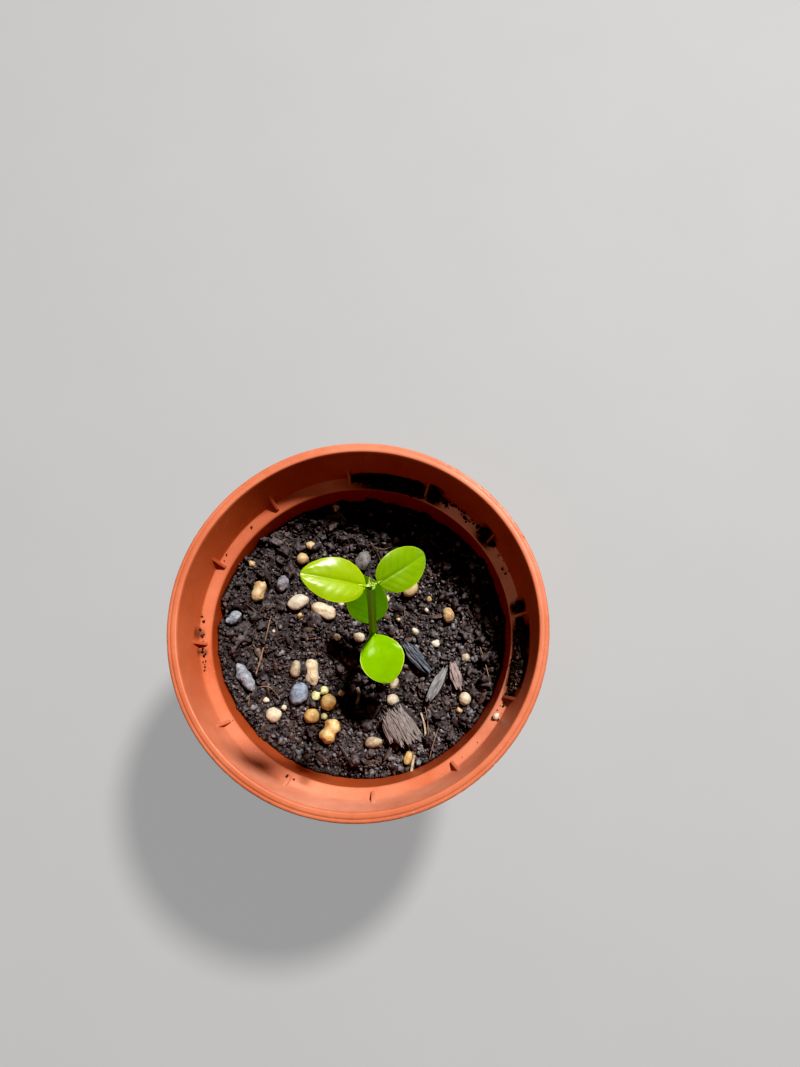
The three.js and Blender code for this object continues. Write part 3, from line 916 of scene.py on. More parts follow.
def stonePaint(name, dark, light):
    paint = newMaterial(name, {"Specular IOR Level": 0.4})
    points = pointsOf(paint)
    base = ramp(paint, cloud(paint, points, 1.3, 6, 0.75), [(0.34, dark), (0.62, light)])
    glint = spread(paint, cloud(paint, points, 0.35, 2), 0.66, 0.7)
    base = blend(paint, times(paint, glint, 0.6), base, opaque((0.7, 0.72, 0.76)))
    rough = spread(paint, glint, 0, 1, 0.7, 0.35)
    return finishPaint(paint, base, rough,
                       bump(paint, cloud(paint, points, 0.4, 5, 0.7), 0.15, 0.9))


stones = [  # name, dark and light colour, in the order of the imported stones
    ("stone_blue", (0.15, 0.18, 0.24), (0.34, 0.40, 0.50)),
    ("stone_pale", (0.14, 0.15, 0.18), (0.42, 0.45, 0.51)),
    ("stone_shiny", (0.10, 0.12, 0.15), (0.40, 0.45, 0.50)),
    ("stone_slate", (0.12, 0.12, 0.14), (0.34, 0.33, 0.37)),
    ("stone_back", (0.10, 0.10, 0.10), (0.30, 0.29, 0.28)),
]
stoneReliefs = [(2.2, 0.5), (0.9, 0.25), (0.4, 0.1)]
for index, (title, dark, light) in enumerate(stones):
    node = "stone_%d" % (index + 1)
    stoneMesh = smoothNode(node, 3)
    roughen(stoneMesh, stoneReliefs, 5.1 * index)
    finishPiece(title, stoneMesh, stonePaint(title + "Paint", dark, light), [node], 30)
print("beads and stones ready")

# Chips: splinters of wood, husk and charcoal, ridged along their grain

chips = {  # a shard is along, across, up, length, width, height and turn
    "charcoal_chip": {
        "turn": -50, "grain": 0.5, "ridge": 0.28, "gloss": 0.3, "sharp": 25,
        "dark": (0.012, 0.014, 0.018), "light": (0.16, 0.185, 0.225), "rise": 0.6,
        "shards": [(0, 0, 0.1, 10.8, 3.0, 2.6, 0), (-1.6, 0.9, 0.5, 6.5, 1.5, 1.6, 6)]},
    "wood_chip": {
        "turn": 60, "grain": 0.45, "ridge": 0.22, "gloss": 0.45, "sharp": 30,
        "dark": (0.14, 0.14, 0.15), "light": (0.37, 0.37, 0.39), "rise": 0.6,
        "shards": [(0, 0, 0, 9.6, 2.8, 2.2, 0), (-1.5, -0.9, 0.3, 6.4, 1.3, 1.6, -5)]},
    "husk_chip": {
        "turn": 105, "grain": 0.4, "ridge": 0.2, "gloss": 0.5, "sharp": 30,
        "dark": (0.17, 0.125, 0.12), "light": (0.46, 0.38, 0.36), "rise": 0.6,
        "shards": [(0, 0, 0, 7.0, 3.2, 2.2, 0)]},
    "bark_chip": {
        "turn": -60, "grain": 0.3, "ridge": 0.22, "gloss": 0.6, "sharp": 35,
        "dark": (0.10, 0.084, 0.08), "light": (0.34, 0.305, 0.29), "rise": 0.4,
        "shards": [
            (-0.8, -3.7, -0.8, 6.0, 2.6, 1.2, -10), (0.6, -2.6, -0.3, 9.0, 2.4, 1.3, 5),
            (-0.9, -1.4, 0.0, 8.4, 2.4, 1.3, -4), (0.5, -0.2, 0.2, 10.6, 2.6, 1.4, 2),
            (0.8, 1.1, 0.1, 9.4, 2.4, 1.3, 6), (-1.0, 2.3, -0.2, 7.6, 2.4, 1.2, -6),
            (1.3, 3.3, -0.6, 7.6, 2.2, 1.1, 9), (-3.0, 0.4, 0.7, 4.6, 0.9, 0.7, 20),
            (2.6, -1.9, 0.5, 5.2, 0.9, 0.7, -14), (3.2, 1.9, 0.5, 5.4, 0.9, 0.7, 14),
            (-2.2, -2.6, 0.4, 4.8, 0.9, 0.7, -12), (0.2, 0.5, 0.9, 6.4, 0.9, 0.6, -5),
        ]},
}


def shardInto(bm, done, long, wide, tall, ridge, seed):  # done marks the corners of earlier shards
    made = bmesh.ops.create_cube(bm, size=1)["verts"]
    edges = list({edge for v in made for edge in v.link_edges})
    bmesh.ops.subdivide_edges(bm, edges=edges, cuts=15, use_grid_fill=True)
    shape = [v for v in bm.verts if not v[done]]
    for v in shape:
        v[done] = 1
        x, y, z = v.co
        taper = 1 - 1.8 * max(0, abs(x) - 0.1) ** 1.6
        rounded = 1 - 0.35 * (abs(y) * 2) ** 4 * (abs(z) * 2) ** 4
        fray = 0.16 * noise.noise(Vector((seed, y * wide * 1.4, z * tall))) * (abs(x) * 2) ** 3
        v.co = Vector(((x + math.copysign(abs(fray), x) - fray) * long, y * wide * taper * rounded,
                       z * tall * taper * rounded))
        rib = noise.noise(Vector((v.co.x * 0.14 + seed, v.co.y * 1.7, v.co.z * 1.7)))
        edge = noise.noise(Vector((v.co.x * 0.5 + seed, y, z)))
        v.co.yz *= 1 + ridge * (2.2 * rib + 0.8 * edge)
    return shape


def makeChip(node, chip):
    low, high = [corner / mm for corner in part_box(node)]
    centre = (low + high) / 2
    bm = bmesh.new()
    done = bm.verts.layers.int.new("done")
    for index, (along, across, up, long, wide, tall, turn) in enumerate(chip["shards"]):
        shape = shardInto(bm, done, long, wide, tall, chip["ridge"], 3.7 * index + chip["turn"])
        turnUpright(bm, shape, turn)
        bmesh.ops.translate(bm, vec=(along, across, up), verts=shape)
    turnUpright(bm, bm.verts, chip["turn"])
    centre.z = bedHeight(centre.x, centre.y) + chip["rise"]
    bmesh.ops.translate(bm, vec=centre, verts=bm.verts)
    paint = newMaterial(node + "Grain", {"Specular IOR Level": 0.5})
    grain = cloud(paint, pointsOf(paint, (0.14, 1, 1), -chip["turn"]), chip["grain"], 6, 0.7)
    base = ramp(paint, grain, [(0.36, chip["dark"]), (0.62, chip["light"])])
    rough = spread(paint, grain, 0.3, 0.7, chip["gloss"], chip["gloss"] + 0.3)
    finishPaint(paint, base, rough, bump(paint, grain, 0.2, 0.9))
    finishPiece("rough_" + node, bm, paint, [node], chip["sharp"])


for node, chip in chips.items():
    makeChip(node, chip)
print("chips ready")

# Grit: small pale grains that stand out in the compost, each as x, y and size

grit = {
    "gritWhite": {"tone": "white", "seed": 51, "grains": [
        (7.3, 13.2, 2.0), (16, 2.3, 2.5), (22.5, -1.5, 2.5), (-8.7, 0.8, 2.2),
        (31.5, -5.9, 2.7), (-24.4, -21.2, 1.8), (-29.9, -18.9, 1.9), (13, 20, 1.5),
        (-7.6, 11.3, 1.9), (6.8, -12.5, 1.8), (19.6, 9.2, 1.3), (-28.4, 2.2, 1.2)]},
    "gritTan": {"tone": "tan", "seed": 52, "grains": [
        (26.2, 22.2, 2.2), (-9, 41, 2.6), (-34.7, 22.1, 2.1), (-17.2, 29.4, 2.6),
        (-20.3, 7.3, 1.9), (29.3, -22, 1.9), (33.5, -10.8, 1.9), (-7.4, -16.6, 2.2),
        (20.5, 12.8, 1.6), (10.8, 6.4, 1.4)]},
    "gritLime": {"tone": "lime", "seed": 53, "grains": [
        (-12.6, -15.8, 2.9), (-14.8, -17.5, 2.7), (-12.3, -23.6, 2.2)]},
}
gritShape = {"detail": 3, "uneven": 0.28, "flat": 0.85, "long": 1.15}
ledgeGrain = {"compass": 122.6, "radius": creaseRadius - 1.3, "lift": 0.7, "size": 1.7,
              "turn": (0.4, 0.2, 1), "shape": 2}  # the white one that lies on the ledge


def makeGrit(name, kind):
    rng = random.Random(kind["seed"])
    shapes = [crumbShape(kind["seed"] + i, gritShape) for i in range(6)]
    placings = []
    for x, y, size in kind["grains"]:
        z = bedHeight(x, y) + 0.3 * size
        placings.append((rng.randrange(len(shapes)), (x, y, z), size, randomTurn(rng)))
    if kind["tone"] == "white":
        grain = ledgeGrain
        z = ledgeHeight(grain["radius"]) + grain["lift"]
        place = onCompass(grain["radius"], grain["compass"], z)
        placings.append((grain["shape"], place, grain["size"], grain["turn"]))
    joinCopies(name, shapes, placings, beadPaints[kind["tone"]])


for name, kind in grit.items():
    makeGrit(name, kind)
print("grit ready")

# Fibres: thin dry roots and straws that lie over the crumbs

fibres = {
    "drawn": [  # points on the compost from above, and the radius
        ([(-29.2, 6.2), (-30.4, 0), (-31.6, -6), (-32.8, -11.3)], 0.22),
        ([(-32.1, -15.2), (-30, -14.6), (-27.6, -15.8), (-25.6, -18.3)], 0.2),
        ([(-19.5, -36.3), (-17.8, -38.2), (-14.9, -37.8)], 0.22),
        ([(35.9, -2.7), (37.6, -8), (38.6, -14.4)], 0.2),
        ([(19, -21), (20.2, -27), (19.6, -31.5)], 0.16),
        ([(23.5, -26), (21.6, -30), (20.2, -36)], 0.16),
        ([(-33.5, -14), (-34.6, -18), (-34.2, -21)], 0.14),
    ],
    "pale": [  # straws
        ([(15.6, -35.2), (14.9, -38), (14.6, -40.6)], 0.42),
        ([(-2.6, -14.4), (-1.2, -16.4), (-2.4, -19.6)], 0.6),
        ([(17.6, -22.6), (19.2, -26.6), (18.9, -30.4)], 0.4),
    ],
    "loose": 70, "length": (2.5, 9), "radius": (0.06, 0.16), "seed": 12,
    "within": 38, "limit": 41, "wander": 0.6, "lap": 0.2,
}


def fibrePath(rng):
    radius = fibres["within"] * math.sqrt(rng.random())
    angle = rng.uniform(0, 2 * math.pi)
    heading = rng.uniform(0, 2 * math.pi)
    point = Vector((radius * math.cos(angle), radius * math.sin(angle)))
    path = [point.copy()]
    steps = rng.randint(3, 5)
    length = rng.uniform(*fibres["length"])
    for _ in range(steps):
        heading += rng.uniform(-fibres["wander"], fibres["wander"])
        point += Vector((math.cos(heading), math.sin(heading))) * length / steps
        path.append(point.copy())
    return [p for p in path if p.length < fibres["limit"]]


def loosePaths():
    rng = random.Random(fibres["seed"])
    paths = []
    while len(paths) < fibres["loose"]:
        path = fibrePath(rng)
        if len(path) > 2:
            paths.append((path, rng.uniform(*fibres["radius"])))
    return paths


def makeFibres(name, paths, lift, dark, light):
    curve = bpy.data.curves.new(name, "CURVE")
    curve.dimensions = "3D"
    curve.bevel_depth = 1
    curve.bevel_resolution = 1
    curve.resolution_u = 6
    curve.use_fill_caps = True
    for path, radius in paths:
        spline = curve.splines.new("NURBS")
        spline.points.add(len(path) - 1)
        spline.order_u = 3
        spline.use_endpoint_u = True
        for index, (x, y) in enumerate(path):
            z = bedHeight(x, y) + lift + fibres["lap"] * (index % 3)
            spline.points[index].co = (x, y, z, 1)
            spline.points[index].radius = radius
    drawn = bpy.data.objects.new(name + "Curve", curve)
    scene.collection.objects.link(drawn)
    shape = drawn.evaluated_get(bpy.context.evaluated_depsgraph_get())
    bm = bmesh.new()
    bm.from_mesh(bpy.data.meshes.new_from_object(shape))
    bpy.data.objects.remove(drawn)
    bmesh.ops.remove_doubles(bm, verts=bm.verts, dist=1e-4)
    finishPiece(name, bm, peatPaint(name + "Paint", dark, light))


makeFibres("rootsLong", fibres["drawn"], 1.2, (0.14, 0.08, 0.05), (0.42, 0.28, 0.19))
makeFibres("straws", fibres["pale"], 1.1, (0.30, 0.22, 0.15), (0.66, 0.55, 0.42))
makeFibres("rootsShort", loosePaths(), 0.5, (0.08, 0.042, 0.026), (0.30, 0.19, 0.13))
print("fibres ready")

# Ledge: compost spilt in the corner between the ledge and the collar

spills = [  # compass from and to; inner edge's radius and height against the collar, along it
    {"name": "spillBack", "from": -4.3, "to": 24.2, "seed": 1, "node": ["ledge_crumbs_back"],
     "inner": [46.7, 46.5, 46.3, 45.9, 45.4, 45.1, 45.2],
     "top": [1.4, 1.8, 2.1, 2.3, 2.3, 2.7, 3.3], "crumbs": 800, "brown": 0.08},
    {"name": "spillSide", "from": 86, "to": 113.4, "seed": 2, "node": ["ledge_crumbs_side"],
     "inner": [46.2, 45.8, 45.5, 45.6, 45.9, 46.3], "top": [1.2, 2.4, 3.4, 3.6, 3.4, 2.2],
     "crumbs": 720, "brown": 0.4},
    {"name": "clumpBack", "from": 25.9, "to": 28.8, "seed": 3, "node": (),
     "inner": [46.0, 46.1, 46.9], "top": [3.4, 3.2, 0.8], "crumbs": 90, "brown": 0.1},
    {"name": "clumpRight", "from": 50, "to": 53.4, "seed": 4, "node": (),
     "inner": [47, 46.1, 45.7], "top": [0.5, 2.6, 3.2], "crumbs": 110, "brown": 0.1},
    {"name": "clumpBeyond", "from": 56, "to": 57.4, "seed": 5, "node": (),
     "inner": [46.3, 46.9], "top": [1.6, 0.5], "crumbs": 40, "brown": 0.1},
    {"name": "clumpSide", "from": 80.2, "to": 84, "seed": 6, "node": (),
     "inner": [46.9, 46.4, 46.1], "top": [0.6, 2.8, 2.8], "crumbs": 110, "brown": 0.2},
]
litter = [  # loose crumbs on the ledge: compass, spread in degrees, number, how far out
    (32, 2.5, 30, 0.85), (38, 4, 26, 0.9), (45, 3, 22, 0.9), (66, 6, 8, 0.9),
    (-93, 3, 6, 0.7), (-99.5, 1.8, 6, 0.75), (-103.5, 1.6, 4, 0.75), (-86, 4, 4, 0.9),
    (-124.6, 0.6, 5, 0.7), (-60, 14, 3, 0.7), (140, 10, 2, 0.7), (-165, 10, 2, 0.6),
    (122, 4, 8, 0.8), (-3, 1.5, 14, 0.8),
]
spiltShape = {"seed": 21, "shapes": 8, "detail": 2, "uneven": 0.7, "flat": 0.85, "long": 1.2}
spillPaint = peatPaint("spiltPeat", (0.012, 0.008, 0.008), (0.085, 0.058, 0.052))
brownSpill = peatPaint("spiltBrownPeat", (0.05, 0.032, 0.024), (0.17, 0.11, 0.085))


def along(values, share):  # the value at that share of the way
    return float(np.interp(share, np.linspace(0, 1, len(values)), values))


def spillPoint(spill, share, outward, up):
    length = share * (spill["to"] - spill["from"])
    ragged = 0.9 * noise.noise(Vector((length * 0.9, 0, spill["seed"])))
    inner = mix(along(spill["inner"], share) + ragged, creaseRadius - 0.2, outward)
    ends = within(12 * share) * within(12 - 12 * share)
    z = ledgeHeight(inner) + 0.02 + up * (0.3 + outward * along(spill["top"], share) * ends)
    radius = inner + max(0, outward * (collarInner(z) - creaseRadius) * up)
    return onCompass(radius, mix(spill["from"], spill["to"], share), z)


def makeSpill(spill):
    bm = bmesh.new()
    length = spill["to"] - spill["from"]
    bmesh.ops.create_grid(bm, x_segments=round(4 * length), y_segments=14, size=1)
    top = set(vertsOf(bmesh.ops.extrude_face_region(bm, geom=bm.faces[:])["geom"]))
    for v in bm.verts:
        share, outward = (v.co.x + 1) / 2, (v.co.y + 1) / 2
        up = 1 if v in top else 0
        place = spillPoint(spill, share, outward, up)
        if up:
            place.z += 0.5 * bumps(place, 1.2) + 0.1
        v.co = place
    finishPiece(spill["name"], bm, spillPaint, spill["node"])


def spillCrumbs():
    rng = random.Random(spiltShape["seed"])
    shapes = [crumbShape(40 + i, spiltShape) for i in range(spiltShape["shapes"])]
    placings, browns = [], []
    for spill in spills:
        for _ in range(spill["crumbs"]):
            size = 0.4 + rng.random() ** 2
            place = spillPoint(spill, rng.random(), rng.uniform(-0.12, 1), 1)
            group = browns if rng.random() < spill["brown"] else placings
            group.append((rng.randrange(len(shapes)), place, size, randomTurn(rng)))
    for centre, width, count, outer in litter:
        for _ in range(count):
            outward = within(rng.gauss(outer, 0.22), 0.02, 1)
            radius = mix(ledgeRadius + 0.4, creaseRadius - 0.35, outward)
            size = 0.25 + 0.55 * rng.random() ** 2
            lift = abs(rng.gauss(0, 0.7)) * outward ** 3
            place = onCompass(radius, rng.gauss(centre, width),
                              ledgeHeight(radius) + 0.3 * size + lift)
            placings.append((rng.randrange(len(shapes)), place, size, randomTurn(rng)))
    joinCopies("spiltCrumbs", shapes, placings, spillPaint)
    joinCopies("spiltBrowns", shapes, browns, brownSpill)


for spill in spills:
    makeSpill(spill)
spillCrumbs()
print("ledge ready")

# Stem: a slim green shoot, darker and browner on the side away from the key light as painted shade,
# along the imported stem's own line

stem = {"sides": 40, "rings": 300, "ridges": 5, "ridgeHeight": 0.05, "nodeZ": 71,
        "knot": 0.1, "skin": 0.03}  # the relief, in shares of the radius


def stemRings():  # height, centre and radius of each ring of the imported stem
    rings = {}
    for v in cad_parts["stem"].data.vertices:
        rings.setdefault(round(v.co.z / mm, 2), []).append(Vector(v.co) / mm)
    made = []
    for z in sorted(rings):
        centre = sum(rings[z], Vector()) / len(rings[z])
        made.append((z, centre.x, centre.y, max((p - centre).length for p in rings[z])))
    return np.array(made)


def stemPaint():
    paint = newMaterial("youngBark", {
        "Specular IOR Level": 0.22, "Coat Weight": 0.05, "Coat Roughness": 0.3})
    points = pointsOf(paint)
    streaks = cloud(paint, pointsOf(paint, (1, 1, 0.12)), 0.35, 5, 0.65)
    green = ramp(paint, streaks, [(0.3, (0.16, 0.40, 0.016)), (0.7, (0.26, 0.60, 0.03))])
    # the darker, browner ramp is painted shade for the side away from the key light
    brown = ramp(paint, streaks, [(0.3, (0.13, 0.25, 0.012)), (0.7, (0.21, 0.38, 0.025))])
    base = blend(paint, valueOf(paint, "shade"), green, brown)
    base = blend(paint, valueOf(paint, "tender"), base, opaque((0.2, 0.45, 0.03)))
    dots = spread(paint, cloud(paint, points, 0.22, 2), 0.66, 0.7)
    base = blend(paint, times(paint, dots, 0.4), base, opaque((0.36, 0.44, 0.12)))
    rough = spread(paint, streaks, 0.3, 0.7, 0.38, 0.55)
    return finishPaint(paint, base, rough, bump(paint, streaks, 0.08, 0.7))


def makeStem():
    rings = stemRings()
    low, high = rings[0, 0], rings[-1, 0]
    bm = bmesh.new()
    bmesh.ops.create_grid(bm, x_segments=stem["sides"], y_segments=stem["rings"], size=1)
    shade = bm.verts.layers.float.new("shade")
    tender = bm.verts.layers.float.new("tender")
    for v in bm.verts:
        angle = math.pi * (v.co.x + 1)
        z = mix(low, high, (v.co.y + 1) / 2)
        x, y, radius = [float(np.interp(z, rings[:, 0], rings[:, k])) for k in (1, 2, 3)]
        ridge = stem["ridgeHeight"] * math.cos(stem["ridges"] * angle + z * 0.02)
        knot = stem["knot"] * bell(z - stem["nodeZ"], 1.2) * math.cos(2 * angle + 1.2)
        skin = stem["skin"] * noise.noise(
            Vector((math.cos(angle) * 2, math.sin(angle) * 2, z * 0.5)))
        radius *= 1 + ridge + knot + skin
        side = Vector((math.cos(angle), math.sin(angle), 0))
        # painted shade: the -x side, away from the key light, takes the darker ramp
        v[shade] = within(0.05 - 0.55 * side.x)
        v[tender] = 0.7 * bell(z - high, 3) + 0.35 * bell(z - stem["nodeZ"], 1.5)
        v.co = Vector((x, y, z)) + side * radius
    bmesh.ops.remove_doubles(bm, verts=bm.verts, dist=1e-4)
    bmesh.ops.holes_fill(bm, edges=openEdges(bm), sides=0)
    finishPiece("greenStem", bm, stemPaint(), ["stem"])


makeStem()
print("stem ready")

# Leaves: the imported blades' own rule, with a sunken midrib, side veins and a thin margin

leafShape = {"thickness": 0.33, "steps": 110, "strips": 64, "endWidth": 0.05,
             "stalkRadius": 0.5, "stalkInside": 0.35, "stalkUnder": 2.0, "stalkDrop": 0.25,
             "gap": 0.3, "veinSpacing": 2.1, "veinSlant": 0.22, "veinWidth": 0.16}
stemTop = {"place": Vector((6.1, -0.8, 136)), "radius": 0.95}
stemNode = {"place": Vector((3.5, 0.4, stem["nodeZ"])), "radius": 1.22}
leaves = [  # wing is how far the halves arch over outwards; trim narrows one side near the tip
    {"name": "leafUpperLeft", "node": "leaf_upper_left", "from": stemTop, "drop": 0.9,
     "yaw": 174, "roll": 4, "stalk": -0.2, "length": 14.7, "width": 9.9, "belly": 0.45,
     "fullness": 0.56, "fold": 0.14, "pitch": (28, 11), "slot": "leaf_upper", "look": "lime",
     "wing": 1, "trim": 0, "groove": 0.16, "veins": 0.6, "margin": 0.96, "curl": 0},
    {"name": "leafUpperRight", "node": "leaf_upper_right", "from": stemTop, "drop": 0.9,
     "yaw": 30, "roll": 21, "stalk": 0.35, "length": 14.2, "width": 9.2, "belly": 0.42,
     "fullness": 0.54, "fold": 0.07, "pitch": (4, -48), "slot": "leaf_upper", "look": "fresh",
     "wing": 0.6, "trim": 0, "groove": 0.14, "veins": 1.5, "margin": 0.96, "curl": 0.12},
    {"name": "leafLowerFront", "node": "leaf_lower_front", "from": stemNode, "drop": 0,
     "yaw": -73, "roll": -10, "stalk": 0.1, "length": 14.8, "width": 13.2, "belly": 0.52,
     "fullness": 0.55, "fold": 0.03, "pitch": (14, -14), "slot": "leaf_lower",
     "look": "bright", "wing": 0.2, "trim": 0.06, "groove": 0.01, "veins": 0, "margin": 0.93,
     "curl": 0},
    {"name": "leafLowerBack", "node": "leaf_lower_back", "from": stemNode, "drop": 0,
     "yaw": 100, "roll": -6, "stalk": 0.1, "length": 15, "width": 12.2, "belly": 0.42,
     "fullness": 0.58, "fold": 0.04, "pitch": (24, 34), "slot": "leaf_lower", "look": "deep",
     "wing": 0.3, "trim": 0, "groove": 0.1, "veins": 0.8, "margin": 0.96, "curl": 0},
]
leafLooks = {  # blade, vein, margin, underside; the blade's gloss, the coat's weight and roughness
    "lime": ((0.302, 0.428, 0.003), (0.22, 0.38, 0.003), (0.48, 0.60, 0.03), (0.34, 0.48, 0.06),
             0.18, 0.32, 0.2),
    "fresh": ((0.21, 0.35, 0.003), (0.13, 0.27, 0.003), (0.36, 0.52, 0.03), (0.3, 0.46, 0.07),
              0.18, 0.35, 0.16),
    "bright": ((0.235, 0.45, 0.003), (0.21, 0.42, 0.003), (0.46, 0.60, 0.10), (0.26, 0.44, 0.06),
               0, 0.025, 0.17),
    "deep": ((0.115, 0.265, 0.003), (0.09, 0.22, 0.003), (0.28, 0.40, 0.03), (0.2, 0.38, 0.05),
             0.12, 0.15, 0.25),
}


def leafOutline(u, leaf):
    bent = u ** (math.log(0.5) / math.log(leaf["belly"]))
    return max(leafShape["endWidth"], math.sin(math.pi * bent) ** leaf["fullness"])


def midrib(u, leaf):
    start = math.radians(leaf["pitch"][0])
    sweep = math.radians(leaf["pitch"][1]) - start
    slope = start + sweep * u
    x = leaf["length"] * (math.sin(slope) - math.sin(start)) / sweep
    z = leaf["length"] * (math.cos(start) - math.cos(slope)) / sweep
    return x, z, slope


def veinPhase(u, v, leaf):  # counts the side veins, which slant forward and alternate
    shift = 0.5 if v > 0 else 0
    ahead = u - leafShape["veinSlant"] * abs(v) ** 1.3
    return ahead * leaf["length"] / leafShape["veinSpacing"] + shift


def veinAt(u, v, leaf):  # 1 on a side vein and 0 between two
    phase = veinPhase(u, v, leaf)
    fade = within(5 * abs(v)) * max(0, 1 - abs(v) ** 3) * within(6 * u)
    return bell(abs(phase - round(phase)), leafShape["veinWidth"]) * fade


def leafRelief(u, v, half, leaf):
    across = abs(v) * half
    groove = leaf["groove"] * bell(across, 0.4) * max(0, 1 - u) ** 0.6
    quilt = -0.014 * math.cos(2 * math.pi * veinPhase(u, v, leaf)) * math.sin(math.pi * abs(v))
    patch = 0.1 * noise.noise(Vector((3.1 * u * leaf["length"] / 14, 2.2 * v, leaf["yaw"])))
    wave = 0.1 * abs(v) ** 2 * math.sin(8 * u + (2 if v > 0 else 0) + leaf["yaw"])
    return quilt * leaf["veins"] + patch + wave - groove - 0.006 * veinAt(u, v, leaf)


def leafPlace(leaf):
    slope = math.radians(leaf["pitch"][0])
    start = leaf["from"]["radius"] + leafShape["stalkRadius"] * abs(math.sin(slope))
    turn = Matrix.Rotation(math.radians(leaf["yaw"]), 4, "Z")
    roll = Matrix.Rotation(math.radians(leaf["roll"]), 4, "X")
    low = leaf["from"]["place"] - Vector((0, 0, leaf["drop"]))
    out = Matrix.Translation((start + leafShape["gap"], 0, 0))
    return Matrix.Translation(low) @ turn @ roll @ out


def stalkInto(bm, leaf, layers):
    slope = math.radians(leaf["pitch"][0])
    forward = Vector((math.cos(slope), 0, math.sin(slope)))
    up = Vector((-math.sin(slope), 0, math.cos(slope)))
    reach = leaf["stalk"] + leafShape["stalkUnder"]
    made = bmesh.ops.create_grid(bm, x_segments=20, y_segments=14, size=1)["verts"]
    for v in made:
        angle, share = math.pi * (v.co.x + 1), (v.co.y + 1) / 2
        joint = 0.22 * bell(share - 0.34, 0.08) - 0.12 * bell(share - 0.22, 0.05)
        radius = leafShape["stalkRadius"] * (mix(1, 0.5, share) + joint)
        ring = Vector((0, radius * math.cos(angle), 0)) + up * (radius * math.sin(angle))
        v.co = forward * (share * reach - leafShape["stalkInside"]) + ring
        v.co -= up * (leafShape["stalkDrop"] * share)
        v[layers["vein"]] = 1
    bmesh.ops.remove_doubles(bm, verts=made, dist=1e-4)
    bmesh.ops.holes_fill(bm, edges=openEdges(bm), sides=0)


def leafPaint(look):
    blade, vein, margin, under, gloss, coat, coatRoughness = leafLooks[look]
    paint = newMaterial(look + "Leaf", {
        "Specular IOR Level": gloss, "Coat Weight": coat, "Coat Roughness": coatRoughness,
        **translucent(0.15, 0.6, (0.6, 1, 0.1))})
    points = pointsOf(paint)
    mottle = cloud(paint, points, 3.5, 5, 0.6)
    top = ramp(paint, mottle, [(0.3, dimmed(blade, 0.86)), (0.7, blade)])
    cells = addNode(paint, "ShaderNodeTexVoronoi", {"Vector": points, "Scale": 1 / 0.45},
                    feature="DISTANCE_TO_EDGE").outputs["Distance"]
    net = spread(paint, cells, 0.02, 0.14, 0.14, 0)
    top = blend(paint, net, top, opaque(vein))
    top = blend(paint, times(paint, valueOf(paint, "vein"), 0.7), top, opaque(vein))
    top = blend(paint, valueOf(paint, "edge"), top, opaque(margin))
    low = ramp(paint, mottle, [(0.3, dimmed(under, 0.85)), (0.7, under)])
    shade = valueOf(paint, "under")
    rough = spread(paint, cloud(paint, points, 1.2, 3), 0.3, 0.7, 0.36, 0.46)
    rough = plus(paint, rough, times(paint, shade, 0.25))
    return finishPaint(paint, blend(paint, shade, top, low), rough,
                       bump(paint, cells, 0.015, 0.3))


def makeLeaf(leaf):
    bm = bmesh.new()
    bmesh.ops.create_grid(bm, x_segments=leafShape["steps"], y_segments=leafShape["strips"],
                          size=1)
    layers = {name: bm.verts.layers.float.new(name) for name in ("vein", "edge", "under")}
    top = set(vertsOf(bmesh.ops.extrude_face_region(bm, geom=bm.faces[:])["geom"]))
    slope = math.radians(leaf["pitch"][0])
    offset = Vector((leaf["stalk"] * math.cos(slope), 0, leaf["stalk"] * math.sin(slope)))
    for v in bm.verts:
        u, across = (v.co.x + 1) / 2, v.co.y
        side = 1 if v in top else -1
        x, z, bend = midrib(u, leaf)
        half = leaf["width"] / 2 * leafOutline(u, leaf)
        half *= 1 + 0.004 * math.sin(46 * u + (1 if across > 0 else 0))
        if across > 0:
            half *= 1 - leaf["trim"] * bell(u - 0.85, 0.22)
        edge = abs(across)
        arch = mix(edge, 1.9 * edge - 1.6 * edge ** 2, leaf["wing"])
        lift = leaf["fold"] * arch * half + leafRelief(u, across, half, leaf)
        lift -= leaf["curl"] * half * u * max(0, across) ** 5
        lift += side * leafShape["thickness"] * (1 - 0.55 * edge ** 6) / 2
        if side < 0:
            lift -= 0.22 * bell(edge * half, 0.38) * (1 - u) ** 0.7
        line = bell(edge * half, 0.22) * (1 - u) ** 0.5
        v[layers["vein"]] = leaf["veins"] * max(line, 0.35 * veinAt(u, across, leaf))
        v[layers["edge"]] = 0.85 * within((edge - leaf["margin"]) / 0.04)
        v[layers["under"]] = 0 if side > 0 else 1
        v.co = Vector((x - lift * math.sin(bend), across * half, z + lift * math.cos(bend)))
        v.co += offset
    stalkInto(bm, leaf, layers)
    bmesh.ops.transform(bm, matrix=leafPlace(leaf), verts=bm.verts)
    finishPiece(leaf["name"], bm, leafPaint(leaf["look"]), [leaf["node"]], 50)


for leaf in leaves:
    makeLeaf(leaf)
print("leaves ready")

# Shoot tip: a small bud between folded leaflets that are just opening

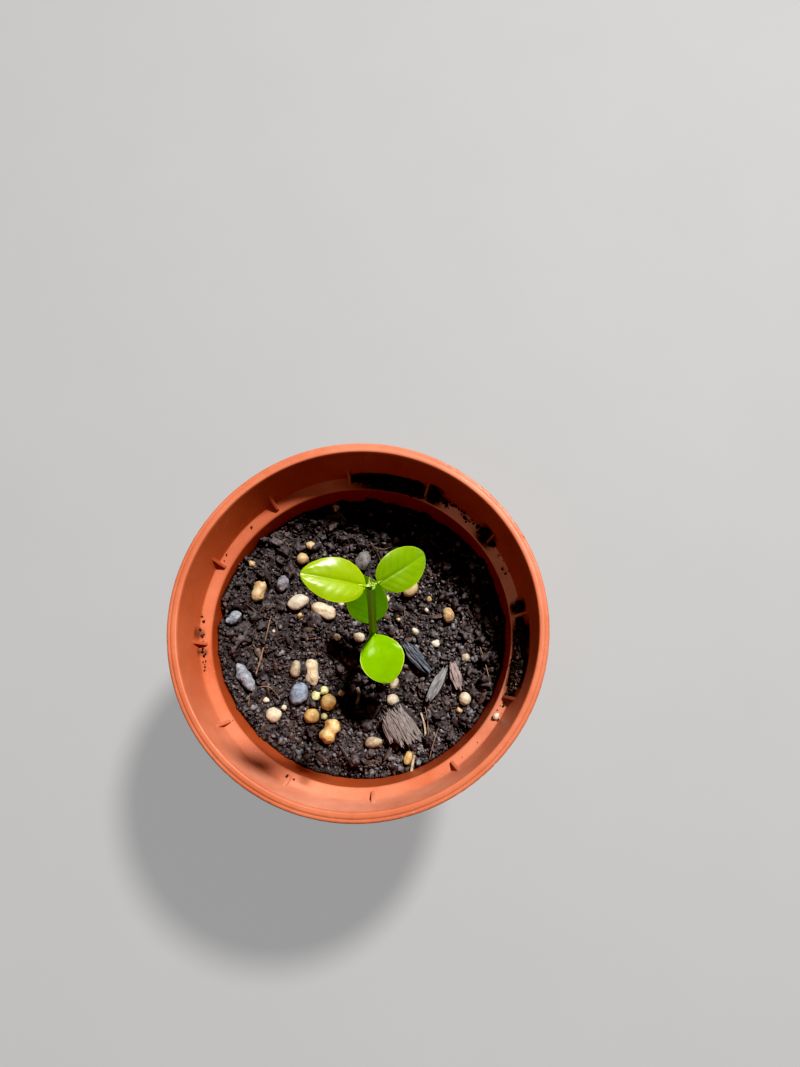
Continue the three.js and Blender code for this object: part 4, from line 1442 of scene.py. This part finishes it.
bud = {"size": (1.3, 1.3, 1.9), "rise": 0.6, "leafletRise": 0.7, "leafletThickness": 0.12}
leaflets = [  # yaw, lean from upright, length and width
    (100, 38, 2.1, 0.85), (215, 48, 1.5, 0.75), (330, 40, 1.6, 0.75), (20, 20, 1.3, 0.6),
]


def tipPaint():
    paint = newMaterial("tenderTip", {
        "Roughness": 0.4, **translucent(0.25, 0.5, (0.7, 1, 0.2))})
    points = pointsOf(paint)
    tone = cloud(paint, points, 0.8, 4)
    plugIn(paint, "Base Color", ramp(paint, tone, [
        (0.3, (0.36, 0.50, 0.07)), (0.7, (0.64, 0.72, 0.26))]))
    plugIn(paint, "Normal", bump(paint, cloud(paint, points, 0.2, 3), 0.04, 0.5))
    return paint


def makeTip():
    bm = bmesh.new()
    made = bmesh.ops.create_uvsphere(bm, u_segments=24, v_segments=16, radius=0.5)["verts"]
    bmesh.ops.scale(bm, vec=bud["size"], verts=made)
    bmesh.ops.translate(bm, vec=(0, 0, bud["rise"]), verts=made)
    for yaw, lean, length, width in leaflets:
        made = bmesh.ops.create_grid(bm, x_segments=16, y_segments=8, size=1)["verts"]
        faces = list({face for v in made for face in v.link_faces})
        top = vertsOf(bmesh.ops.extrude_face_region(bm, geom=faces)["geom"])
        for v in made + top:
            u, across = (v.co.x + 1) / 2, v.co.y
            half = width / 2 * max(0.08, math.sin(math.pi * u ** 0.8) ** 0.7)
            cup = 0.5 * abs(across) * half - 0.25 * length * (u - 0.5) ** 2
            v.co = Vector((length * u, across * half, cup))
            if v in top:
                v.co.z += bud["leafletThickness"]
        turn = turnZ(yaw) @ Matrix.Rotation(math.radians(lean - 90), 3, "Y")
        bmesh.ops.rotate(bm, cent=(0, 0, 0), matrix=turn, verts=made + top)
        bmesh.ops.translate(bm, vec=(0, 0, bud["leafletRise"]), verts=made + top)
    bmesh.ops.translate(bm, vec=stemTop["place"] + Vector((0, 0, bud["rise"])), verts=bm.verts)
    finishPiece("shootTip", bm, tipPaint(), ["shoot_tip"])


makeTip()
print("shoot tip ready")
